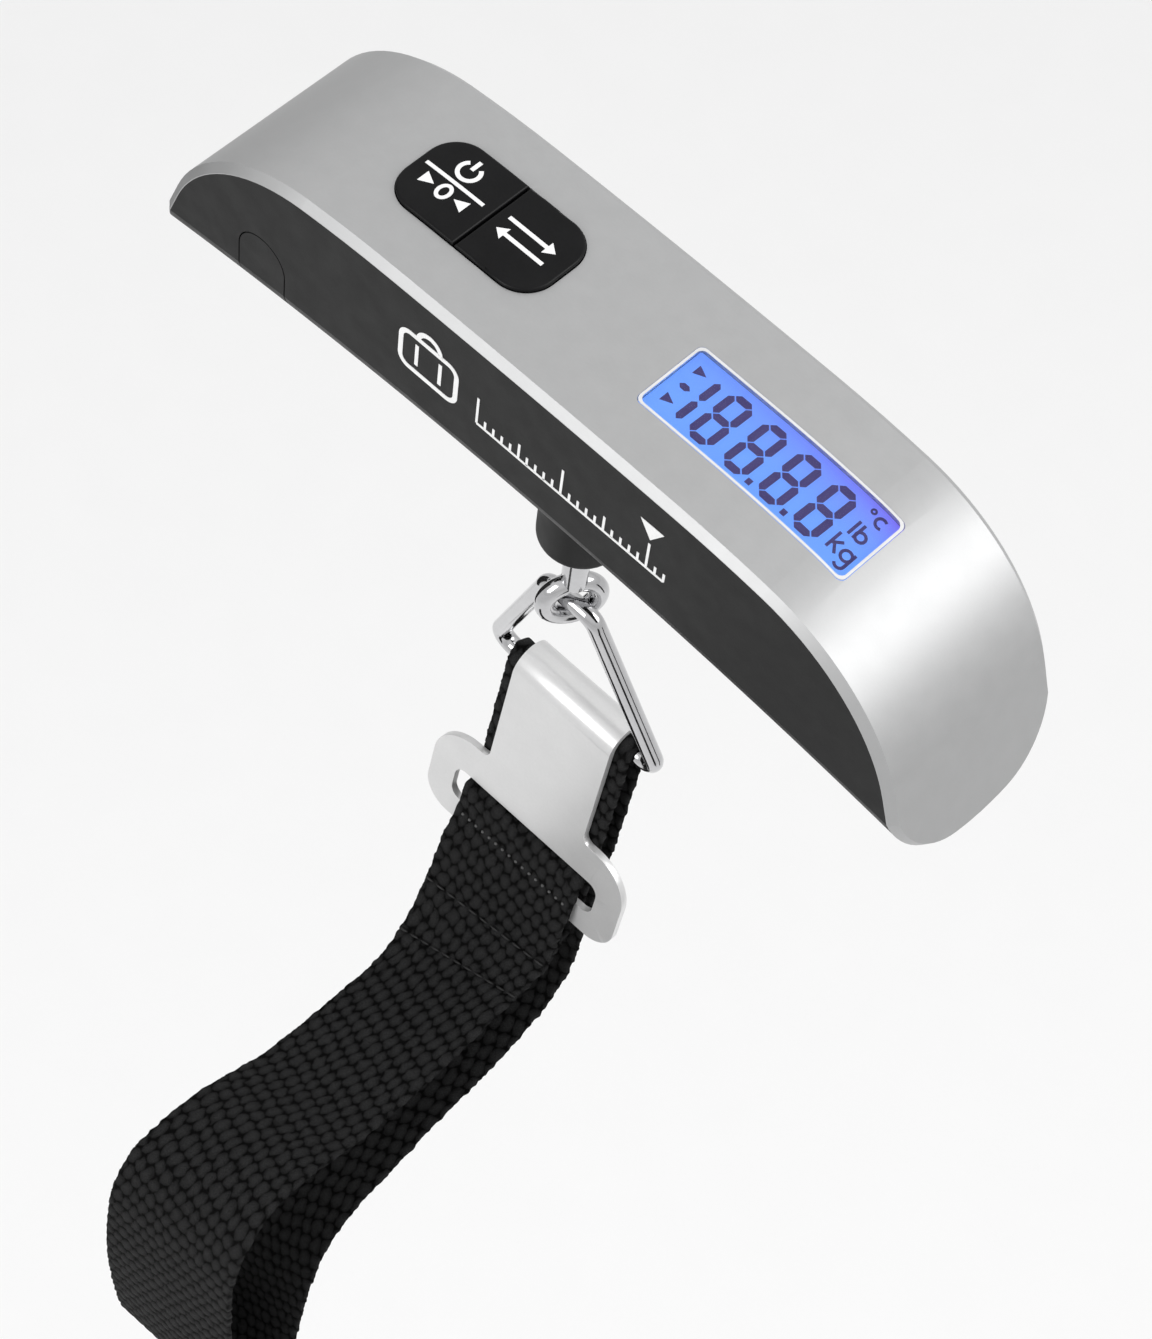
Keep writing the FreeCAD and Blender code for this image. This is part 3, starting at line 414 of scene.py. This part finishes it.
def smooth_sections(gap):
    """Even sections along the strap: (middle, right-hand direction, face direction, distance)."""
    line = strap_sections()
    middles = catmull([middle for middle, lean in line], 8)
    leans = catmull([lean for middle, lean in line], 8)
    right = [m + Vector((WEB_WIDTH / 2, 0, 0)) + l for m, l in zip(middles, leans)]
    left = [m - Vector((WEB_WIDTH / 2, 0, 0)) - l for m, l in zip(middles, leans)]
    lengths = [0.0]
    for first, second in zip(middles, middles[1:]):
        lengths.append(lengths[-1] + (second - first).length)
    count = round(lengths[-1] / gap)
    sections = []
    index = 0
    for step in range(count + 1):
        target = lengths[-1] * step / count
        while index < len(middles) - 2 and lengths[index + 1] < target:
            index += 1
        part = (target - lengths[index]) / (lengths[index + 1] - lengths[index])
        edge_left = left[index].lerp(left[index + 1], part)
        edge_right = right[index].lerp(right[index + 1], part)
        across = (edge_right - edge_left).normalized()
        along = (middles[index + 1] - middles[index]).normalized()
        sections.append(((edge_left + edge_right) / 2, across, across.cross(along).normalized(), target))
    return sections


def web_outline(columns):
    """Cross section of the webbing's core as (across, out) pairs, with rounded edges."""
    half = WEB_WIDTH / 2 - YARN_RISE
    edge = WEB_THICK / 2 - YARN_RISE
    pairs = []
    for index in range(columns + 1):
        across = -half + 2 * half * index / columns
        nearness = max(0.0, abs(across) - (half - edge)) / edge
        pairs.append((across, edge * math.sqrt(max(0.0, 1 - nearness * nearness))))
    return pairs + [(across, -out) for across, out in reversed(pairs[1:-1])]


def yarn_place(side, distance, face):
    """Place in the weave, counted in yarns to the next column and ahead, with a little unevenness."""
    seed = Vector((side, distance, face * 7 * MM)) / UNEVEN_GRAIN
    across, along = side / MM, distance / MM
    u = (across * YARN_AHEAD[1] - along * YARN_AHEAD[0]) / YARN_AREA
    v = (along * YARN_NEXT[0] - across * YARN_NEXT[1]) / YARN_AREA
    return (u + 0.2 * noise.noise(seed) + 0.16 * noise.noise(seed * 2.7),
            v + 0.18 * noise.noise(seed + UNEVEN_SHIFT) + 0.16 * noise.noise(seed * 2.7 + UNEVEN_SHIFT))


def yarn_height(u, v):
    """One long rounded bump for each yarn of the slanted weave."""
    next_off, ahead_off = u - round(u), v - round(v)
    across = next_off * YARN_NEXT[0] + ahead_off * YARN_AHEAD[0]
    along = next_off * YARN_NEXT[1] + ahead_off * YARN_AHEAD[1]
    return math.sqrt(max(0.0, 1 - (across / YARN_HALF[0]) ** 2 - (along / YARN_HALF[1]) ** 2))


def nearest_section(sections, y, z):
    """The section of the webbing's front run that is nearest to y, z in millimetres."""
    front_run = [section for section in sections if FRONT_RUN[0] < section[3] < FRONT_RUN[1]]
    return min(front_run, key=lambda section: (section[0] - Vector((0, y, z)) * MM).length)


def seam_drop(distance, rows):
    """How far a sewn row pulls the webbing in, 0 to 1."""
    nearest = min(abs(distance - row) for row in rows)
    return max(0.0, 1 - nearest / SEAM_HALF) ** 0.7


def build_strap(sections):
    """The webbing as one mesh that follows the sections, with its yarns and sewn rows in relief."""
    outline = web_outline(WEB_COLUMNS)
    size = len(outline)
    points, places = [], []
    rows = [nearest_section(sections, *place)[3] for place in SEAM_PLACES]
    for middle, across, out, distance in sections:
        drop = seam_drop(distance, rows)
        for side, lift in outline:
            face = 1 if lift >= 0 else -1
            u, v = yarn_place(side, distance, face)
            rise = YARN_RISE * (yarn_height(u, v) - SEAM_DEPTH * drop)
            edge = max(0.0, abs(side) / (WEB_WIDTH / 2) - (1 - SELVEDGE_SHARE)) / SELVEDGE_SHARE
            ragged = noise.noise(Vector((side * 40, distance / (1.1 * MM), 3.0))) * SELVEDGE_ROUGH
            outward = math.copysign((rise + ragged) * edge, side)
            points.append(middle + across * (side + outward) + out * (lift + face * rise))
            places.append((u, v))
    faces = []
    for row in range(len(sections) - 1):
        for column in range(size):
            following = (column + 1) % size
            faces.append((row * size + column, row * size + following,
                          (row + 1) * size + following, (row + 1) * size + column))
    faces.append(tuple(range(size)))
    faces.append(tuple(range((len(sections) - 1) * size, len(sections) * size))[::-1])
    strap = new_piece("strap_webbing", points, faces, webbing, "hook")
    coordinates = strap.data.uv_layers.new(name="web")
    for loop in strap.data.loops:
        coordinates.data[loop.index].uv = places[loop.vertex_index]
    return strap


webbing = Shader("webbing_nylon")


def weave_gap_shade():
    """The same rounded bumps as in yarn_height, for the colour of the yarns and of their gaps, which are painted
    in shade.
    """
    split = webbing.tree.nodes.new("ShaderNodeSeparateXYZ")
    uv = webbing.tree.nodes.new("ShaderNodeUVMap")
    uv.uv_map = "web"
    webbing.link(uv.outputs["UV"], split.inputs["Vector"])
    offs = [webbing.math("SUBTRACT", value, webbing.math("ROUND", value))
            for value in (split.outputs["X"], split.outputs["Y"])]
    far = 0.0
    for axis in (0, 1):
        sideways = webbing.math("MULTIPLY", offs[0], YARN_NEXT[axis] / YARN_HALF[axis])
        ahead = webbing.math("MULTIPLY", offs[1], YARN_AHEAD[axis] / YARN_HALF[axis])
        reach = webbing.math("ABSOLUTE", webbing.math("ADD", sideways, ahead))
        far = webbing.math("ADD", webbing.math("POWER", reach, 2.0), far)
    return webbing.math("SQRT", webbing.math("MAXIMUM", webbing.math("SUBTRACT", 1.0, far), 0.0))


weave = weave_gap_shade()
fibre = webbing.noise(0.16, detail=4.0)
# The yarn colour runs down to near black in the gaps between the yarns: painted shade, on top of the real relief
# of the mesh.
gap_shaded_tone = webbing.math("MULTIPLY", weave, webbing.spread(fibre, 0.35, 1.1))
webbing.colour(webbing.blend(webbing.spread(gap_shaded_tone, 0, 1, start=0.1, end=0.95),
                             (0.0004, 0.0004, 0.0004), (0.027, 0.027, 0.0275)))
webbing.roughness(webbing.spread(fibre, 0.6, 0.8))
webbing.bump(fibre, 0.16)
webbing.uniform(Specular_IOR_Level=0.07)

web_sections = smooth_sections(SECTION_GAP)
strap = build_strap(web_sections)
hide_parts("strap")


THREAD_RINGS = 6
THREAD_SIDES = 8
THREAD_SUNK = 0.05 * MM


def thread_row(name, y, z, gap, length, thick, shader):
    """A row of thread stitches across the webbing's face, at the section nearest to y, z."""
    middle, across, out, _ = nearest_section(web_sections, y, z)
    along = across.cross(out)
    points, faces = [], []
    count = int((WEB_WIDTH - 2.4 * MM) / gap)
    for index in range(count + 1):
        side = (index - count / 2) * gap
        centre = middle + across * side + out * -(WEB_THICK / 2 - THREAD_SUNK)
        start = len(points)
        for ring in range(THREAD_RINGS + 1):
            reach = -1 + 2 * ring / THREAD_RINGS
            girth = thick / 2 * math.sqrt(max(0.04, 1 - reach * reach))
            for turn in range(THREAD_SIDES):
                angle = math.tau * turn / THREAD_SIDES
                points.append(centre + across * (reach * length / 2) + along * (girth * math.cos(angle))
                              + out * (girth * math.sin(angle)))
        for ring in range(THREAD_RINGS):
            near = start + ring * THREAD_SIDES
            far = near + THREAD_SIDES
            for turn in range(THREAD_SIDES):
                following = (turn + 1) % THREAD_SIDES
                faces.append((near + turn, near + following, far + following, far + turn))
        last = start + THREAD_RINGS * THREAD_SIDES
        faces.append(tuple(start + turn for turn in range(THREAD_SIDES))[::-1])
        faces.append(tuple(last + turn for turn in range(THREAD_SIDES)))
    return new_piece(name, points, faces, shader, "hook")


stitches = [
    thread_row("stitch_top", -4.75, -107.0, 1.45 * MM, 0.55 * MM, 0.5 * MM, thread_grey),
    thread_row("stitch_seam_1", *SEAM_PLACES[0], 2.3 * MM, 1.7 * MM, 0.4 * MM, thread_black),
    thread_row("stitch_seam_2", *SEAM_PLACES[1], 2.3 * MM, 1.7 * MM, 0.4 * MM, thread_black),
]

# ---------------------------------------------------------------- marks that follow a surface


def node_tree(node):
    """Ray-casting tree of a CAD node's own mesh."""
    mesh = frame["nodes"][node].data
    return BVHTree.FromPolygons([v.co for v in mesh.vertices], [p.vertices[:] for p in mesh.polygons])


def drop_down(tree, x, y):
    """The highest point of a mesh at x, y."""
    return tree.ray_cast(Vector((x, y, 1)), Vector((0, 0, -1)))[0]


def stroke(points, width, closed=False):
    """Outline quads of a pen stroke along 2-D points, as (points, faces)."""
    count = len(points)
    made = []
    for index, point in enumerate(points):
        before = points[index - 1] if index or closed else point
        after = points[(index + 1) % count] if index < count - 1 or closed else point
        run = Vector((after[0] - before[0], after[1] - before[1])).normalized()
        normal = Vector((-run.y, run.x)) * width / 2
        made.append((point[0] + normal.x, point[1] + normal.y))
        made.append((point[0] - normal.x, point[1] - normal.y))
    faces = []
    for index in range(count if closed else count - 1):
        following = (index + 1) % count
        faces.append((2 * index, 2 * index + 1, 2 * following + 1, 2 * following))
    return made, faces


def arc_line(x, y, radius, start, stop, count=40):
    """Points along an arc, angles in degrees from +X."""
    line = []
    for index in range(count + 1):
        angle = math.radians(start + (stop - start) * index / count)
        line.append((x + radius * math.cos(angle), y + radius * math.sin(angle)))
    return line


def straight(x0, y0, x1, y1, count=12):
    return [(x0 + (x1 - x0) * i / count, y0 + (y1 - y0) * i / count) for i in range(count + 1)]


def join_shapes(shapes):
    points, faces = [], []
    for shape_points, shape_faces in shapes:
        start = len(points)
        points += shape_points
        faces += [tuple(start + index for index in face) for face in shape_faces]
    return points, faces


def polygon(points):
    return list(points), [tuple(range(len(points)))]


MARK_THICK = 0.06 * MM


def printed_mark(name, shapes, shader, body, place):
    """A thin raised print. place maps a 2-D point in millimetres and a lift onto the surface."""
    flat_points, faces = join_shapes(shapes)
    count = len(flat_points)
    points = [place(x * MM, y * MM, MARK_THICK) for x, y in flat_points]
    points += [place(x * MM, y * MM, -MARK_THICK) for x, y in flat_points]
    upside_down = [tuple(count + index for index in reversed(face)) for face in faces]
    edges = {}
    for face in faces:
        for first, second in zip(face, face[1:] + face[:1]):
            edges[(first, second)] = True
    walls = [(b, a, count + a, count + b) for a, b in edges if (b, a) not in edges]
    return new_piece(name, points, faces + upside_down + walls, shader, body, smooth=False)


# ---------------------------------------------------------------- key symbols

power_tree = node_tree("power_key")
unit_tree = node_tree("unit_key")


def on_power_key(x, y, lift):
    return drop_down(power_tree, x, y) + Vector((0, 0, lift))


def on_unit_key(x, y, lift):
    return drop_down(unit_tree, x, y) + Vector((0, 0, lift))


# Places and sizes of the key symbols, in millimetres.
PEN_WIDE = 0.62
PEN_NARROW = 0.55
POWER_X, POWER_Y = -28.8, 3.25
power_shapes = [
    stroke(arc_line(POWER_X, POWER_Y, 1.55, 130, 410), PEN_WIDE),
    stroke(straight(POWER_X, POWER_Y + 0.4, POWER_X, POWER_Y + 2.2), PEN_WIDE),
    stroke(straight(-33.9, 0.6, -23.6, 0.6), PEN_NARROW),
]
ZERO_X, ZERO_Y = -28.7, -1.45
zero_shapes = [
    stroke([(ZERO_X + 0.85 * math.cos(a), ZERO_Y + 1.15 * math.sin(a))
            for a in (math.tau * k / 40 for k in range(40))], PEN_NARROW, closed=True),
    polygon([(ZERO_X - 3.8, ZERO_Y + 1.05), (ZERO_X - 3.8, ZERO_Y - 1.05), (ZERO_X - 1.8, ZERO_Y)]),
    polygon([(ZERO_X + 3.8, ZERO_Y - 1.05), (ZERO_X + 3.8, ZERO_Y + 1.05), (ZERO_X + 1.8, ZERO_Y)]),
]
printed_mark("power_symbol", power_shapes, white_print, "power_button", on_power_key)
printed_mark("zero_symbol", zero_shapes, white_print, "power_button", on_power_key)


def arrow(x, y, length, sign):
    """A flat arrow along X, pointing towards +X for sign 1 and -X for sign -1."""
    head = 1.5
    tail = x - sign * length / 2
    neck = x + sign * (length / 2 - head)
    tip = x + sign * length / 2
    ordered = [(neck, y - 1.1), (tip, y), (neck, y + 1.1)]
    if sign < 0:
        ordered.reverse()
    return [stroke(straight(tail, y, neck, y), 0.6), polygon(ordered)]


UNIT_X, UNIT_Y = -15.9, 0.5
unit_shapes = arrow(UNIT_X, UNIT_Y + 1.2, 8.2, 1) + arrow(UNIT_X, UNIT_Y - 1.2, 8.2, -1)
printed_mark("unit_symbol", unit_shapes, white_print, "unit_button", on_unit_key)

# ---------------------------------------------------------------- display contents

window_low, window_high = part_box("display_window")
WINDOW_MIDDLE = (window_low + window_high) / 2
WINDOW_HALF = (window_high - window_low) / 2
window_tree = node_tree("display_window")
LCD_SLOPE = math.cos(math.radians(3.92))
FILM_GAP = 0.06 * MM


def under_window(x, y, lift):
    """A point on the film under the window; x runs along the display and y across it, from its middle."""
    place_x = WINDOW_MIDDLE.x + x * LCD_SLOPE
    hit = window_tree.ray_cast(Vector((place_x, WINDOW_MIDDLE.y, 0)), Vector((0, 0, 1)))[0]
    return Vector((place_x, WINDOW_MIDDLE.y + y, hit.z - 3 * FILM_GAP + lift))


def film_sheet(half_x, half_y, columns=40, rows=4):
    """A thin rectangle in millimetres, cut into strips so that it can follow the curved window."""
    points = [(half_x * (2 * i / columns - 1), half_y * (2 * j / rows - 1))
              for i in range(columns + 1) for j in range(rows + 1)]
    step = rows + 1
    faces = [(i * step + j, (i + 1) * step + j, (i + 1) * step + j + 1, i * step + j + 1)
             for i in range(columns) for j in range(rows)]
    return points, faces


def on_film(x, y, lift):
    return under_window(x, y, FILM_GAP + lift)


def rounded_loop(half_x, half_y, corner, steps=8):
    """Points round a rounded rectangle, its straight sides cut so that they can follow a curved face."""
    line = []
    for x, y, start in ((half_x - corner, corner - half_y, -90), (half_x - corner, half_y - corner, 0),
                        (corner - half_x, half_y - corner, 90), (corner - half_x, corner - half_y, 180)):
        line += arc_line(x, y, corner, start, start + 90, steps)
    cut = []
    for first, second in zip(line, line[1:] + line[:1]):
        cut += straight(*first, *second, 24)[:-1] if abs(first[0] - second[0]) > 5 * corner else [first]
    return cut


# The display's digits.
SEGMENT_SLANT = 0.03
SEGMENT_WIDTH = 1.1


def bar_segment(x0, y0, x1, y1, width):
    """One display segment with pointed ends."""
    run = Vector((x1 - x0, y1 - y0))
    step = run.normalized() * width / 2
    side = Vector((-step.y, step.x))
    start = Vector((x0, y0))
    end = Vector((x1, y1))
    gap = step * 0.25
    corners = [start + gap, start + step + gap - side, end - step - gap - side,
               end - gap, end - step - gap + side, start + step + gap + side]
    return polygon([tuple(c) for c in corners])


def slanted(shape, base_y):
    points, faces = shape
    return [(x + (y - base_y) * SEGMENT_SLANT, y) for x, y in points], faces


def seven_segments(x, y, width, height, lit_parts="abcdefg"):
    """Segments of one digit whose lower left corner is at x, y."""
    half = height / 2
    lines = {
        "a": (x, y + height, x + width, y + height),
        "b": (x + width, y + half, x + width, y + height),
        "c": (x + width, y, x + width, y + half),
        "d": (x, y, x + width, y),
        "e": (x, y, x, y + half),
        "f": (x, y + half, x, y + height),
        "g": (x, y + half, x + width, y + half),
    }
    return [slanted(bar_segment(*lines[part], SEGMENT_WIDTH), y) for part in lit_parts]


DIGIT_WIDTH = 3.0
DIGIT_HEIGHT = 8.2
DIGIT_PITCH = 5.9
DIGIT_LEFT = -10.2
DIGIT_BASE = -3.9


def letter(x, y, strokes, size=2.3, width=0.42):
    """A small unit letter from strokes on a grid one unit high, its lower left corner at x, y."""
    return [stroke([(x + u * size, y + v * size) for u, v in line], width) for line in strokes]


LETTER_K = [[(0, 0), (0, 1.25)], [(0.55, 0.9), (0.05, 0.42)], [(0.2, 0.5), (0.6, 0)]]
LETTER_L = [[(0, 0), (0, 1.25)]]
LETTER_B = [[(0, 0), (0, 1.25)], arc_line(0.32, 0.4, 0.36, 0, 360, 16)]
LETTER_G = [arc_line(0.32, 0.42, 0.34, 0, 360, 16), [(0.66, 0.85), (0.66, -0.2)],
            arc_line(0.36, -0.18, 0.3, 0, -150, 8)]

digit_shapes = []
for index in range(4):
    digit_shapes += seven_segments(DIGIT_LEFT + index * DIGIT_PITCH, DIGIT_BASE, DIGIT_WIDTH, DIGIT_HEIGHT)
digit_shapes += seven_segments(DIGIT_LEFT - 2.4 - DIGIT_WIDTH, DIGIT_BASE, DIGIT_WIDTH, DIGIT_HEIGHT, "bc")
digit_shapes.append(bar_segment(-16.1, 0.5, -14.1, 0.5, 0.95))
for index in (1, 2):
    dot_x = DIGIT_LEFT + index * DIGIT_PITCH + DIGIT_WIDTH + 1.3
    digit_shapes.append(stroke(straight(dot_x - 0.4, DIGIT_BASE, dot_x + 0.4, DIGIT_BASE, 2), 0.9))
digit_shapes += letter(12.5, -3.3, LETTER_K) + letter(14.4, -3.3, LETTER_G)
digit_shapes += letter(13.1, 0.1, LETTER_L, 2.0) + letter(13.9, 0.1, LETTER_B, 2.0)
digit_shapes.append(stroke(arc_line(13.2, 4.9, 0.32, 0, 360, 16), 0.28))
digit_shapes.append(stroke(arc_line(14.9, 4.3, 0.75, 55, 305, 16), 0.4))
for marker_y in (3.6, -2.4):
    digit_shapes.append(polygon([(-16.0, marker_y - 0.8), (-14.3, marker_y), (-16.0, marker_y + 0.8)]))
printed_mark("display_digits", digit_shapes, digit_dark, "housing", on_film)
printed_mark("display_film", [film_sheet(WINDOW_HALF.x / MM - 0.1, WINDOW_HALF.y / MM - 0.1)], lcd_blue, "housing",
             under_window)

# The chamfered edge round the display opening, drawn as a thin bright ring over the window: a painted highlight.
BEZEL_WIDTH = 0.36
BEZEL_CORNER = 1.0


def on_cover_edge(x, y, lift):
    """A point just above the window, level with the rim of its opening."""
    middle = drop_down(window_tree, WINDOW_MIDDLE.x + x, WINDOW_MIDDLE.y)
    return Vector((middle.x, middle.y + y, middle.z + lift + MARK_THICK))


def frame_shape(half_x, half_y, corner, width):
    outer = rounded_loop(half_x, half_y, corner)
    count = len(outer)
    scale_x, scale_y = (half_x - width) / half_x, (half_y - width) / half_y
    inner = [(x * scale_x, y * scale_y) for x, y in outer]
    faces = [(i, (i + 1) % count, count + (i + 1) % count, count + i) for i in range(count)]
    return outer + inner, faces


printed_mark("display_edge_highlight", [frame_shape(WINDOW_HALF.x / MM - 0.03, WINDOW_HALF.y / MM - 0.03,
                                           BEZEL_CORNER, BEZEL_WIDTH)], bezel_painted_highlight, "housing", on_cover_edge)

# ---------------------------------------------------------------- print on the front face

front_tree = node_tree("lower_housing")


def on_front(x, z, lift):
    """A point on the front face of the housing."""
    hit = front_tree.ray_cast(Vector((x, -1, z)), Vector((0, 1, 0)))[0]
    return Vector((hit.x, hit.y - lift, hit.z))


def rounded_box_line(x0, z0, x1, z1, corner):
    line = []
    for x, z, start in ((x1 - corner, z0 + corner, -90), (x1 - corner, z1 - corner, 0),
                        (x0 + corner, z1 - corner, 90), (x0 + corner, z0 + corner, 180)):
        line += arc_line(x, z, corner, start, start + 90, 8)
    return line


case_shapes = [
    stroke(rounded_box_line(-21.5, 10.2, -11.5, 17.2, 1.6), 0.8, closed=True),
    stroke(arc_line(-16.5, 17.2, 2.0, 0, 180, 16), 0.8),
    stroke(straight(-18.6, 11.6, -18.6, 15.8), 0.6),
    stroke(straight(-14.4, 11.6, -14.4, 15.8), 0.6),
]
TICK_COUNT = 23
TICK_PITCH = 1.5
TICK_TOPS = (12.0, 13.4, 15.6)
RULE_LEFT, RULE_RIGHT, RULE_Z = -7.5, 25.5, 10.4
scale_shapes = [stroke(straight(RULE_LEFT, RULE_Z, RULE_RIGHT, RULE_Z, 40), 0.45)]
for tick in range(TICK_COUNT):
    tick_x = RULE_LEFT + tick * TICK_PITCH
    tick_top = TICK_TOPS[(tick % 5 == 0) + (tick % 10 == 0)]
    scale_shapes.append(stroke(straight(tick_x, RULE_Z, tick_x, tick_top), 0.4))
pointer_shapes = [polygon([(20.5, 19.4), (22.5, 16.4), (24.5, 19.4)])]
printed_mark("case_symbol", case_shapes, white_print, "housing", on_front)
printed_mark("scale_print", scale_shapes + pointer_shapes, white_print, "housing", on_front)

# ---------------------------------------------------------------- camera and stage

CAMERA_PLACE = (0.173789, -0.228582, 0.396588)
CAMERA_TURN = (32.0577, -4.6913, 44.2597)
CAMERA_LENS = 116.47

camera_data = bpy.data.cameras.new("camera")
camera_data.lens = CAMERA_LENS
camera_data.sensor_width = 36.0
camera_data.sensor_fit = "HORIZONTAL"
camera_data.clip_start = 0.01
camera = bpy.data.objects.new("camera", camera_data)
camera.location = CAMERA_PLACE
camera.rotation_euler = Euler([math.radians(a) for a in CAMERA_TURN])
bpy.context.scene.collection.objects.link(camera)
bpy.context.scene.camera = camera

FLOOR_HALF = 20
FLOOR_Z = -1
floor_mesh = bpy.data.meshes.new("floor")
floor_mesh.from_pydata([(x * FLOOR_HALF, y * FLOOR_HALF, FLOOR_Z)
                        for x, y in ((-1, -1), (1, -1), (1, 1), (-1, 1))], [], [(0, 1, 2, 3)])
floor = bpy.data.objects.new("floor", floor_mesh)
bpy.context.scene.collection.objects.link(floor)
paint(floor, mottled("floor_paper", (0.885, 0.885, 0.885), (0.895, 0.895, 0.895), (0.8, 0.9), 2.0, 0.01))


def area_lamp(name, place, aim, side, power):
    data = bpy.data.lights.new(name, "AREA")
    data.size = side
    data.energy = power
    lamp = bpy.data.objects.new(name, data)
    lamp.location = place
    lamp.rotation_euler = (Vector(aim) - Vector(place)).to_track_quat("-Z", "Y").to_euler()
    bpy.context.scene.collection.objects.link(lamp)


area_lamp("front_lamp", (-0.25, -1.1, 0.55), (0, 0, -0.03), 0.7, 6.5)
area_lamp("bend_lamp", (0.85, 0.62, 0.85), (0.05, 0, 0), 0.8, 9.0)


def reflection_card(name, x, near_y, far_y, low_z, high_z):
    """A dark upright card that only shows as a streak in the polished metal, as studio flags do."""
    mesh = bpy.data.meshes.new(name)
    mesh.from_pydata([(x, near_y, low_z), (x, far_y, low_z), (x, far_y, high_z), (x, near_y, high_z)],
                     [], [(0, 1, 2, 3)])
    card = bpy.data.objects.new(name, mesh)
    bpy.context.scene.collection.objects.link(card)
    paint(card, card_black)
    card.visible_camera = card.visible_diffuse = card.visible_shadow = card.visible_transmission = False


card_black = mottled("card_black", (0.004, 0.004, 0.004), (0.008, 0.008, 0.008), (0.8, 0.9), 2.0, 0.01)
reflection_card("card_right", 0.8, -0.38, -0.14, -0.85, -0.10)
reflection_card("card_back", 0.8, 0.28, 0.42, -0.85, -0.10)
reflection_card("card_left", -0.7, -0.30, 0.25, -0.9, 0.2)


def studio_sky(zenith, horizon, seen):
    """A soft sky: brighter overhead, darker at the horizon, and pale behind the object."""
    world = bpy.data.worlds.new("studio")
    world.use_nodes = True
    nodes, links = world.node_tree.nodes, world.node_tree.links
    split = nodes.new("ShaderNodeSeparateXYZ")
    links.new(nodes.new("ShaderNodeTexCoord").outputs["Generated"], split.inputs["Vector"])
    rise = nodes.new("ShaderNodeMapRange")
    rise.interpolation_type = "SMOOTHSTEP"
    for socket, value in (("From Min", 0.05), ("From Max", 0.55), ("To Min", horizon), ("To Max", zenith)):
        rise.inputs[socket].default_value = value
    links.new(split.outputs["Z"], rise.inputs["Value"])
    choose = nodes.new("ShaderNodeMix")
    links.new(nodes.new("ShaderNodeLightPath").outputs["Is Camera Ray"], choose.inputs["Factor"])
    links.new(rise.outputs["Result"], choose.inputs["A"])
    choose.inputs["B"].default_value = seen
    links.new(choose.outputs["Result"], nodes["Background"].inputs["Strength"])
    nodes["Background"].inputs["Color"].default_value = (1, 1, 1, 1)
    bpy.context.scene.world = world


studio_sky(zenith=0.84, horizon=0.68, seen=0.89)
bpy.context.scene.view_settings.view_transform = "Standard"
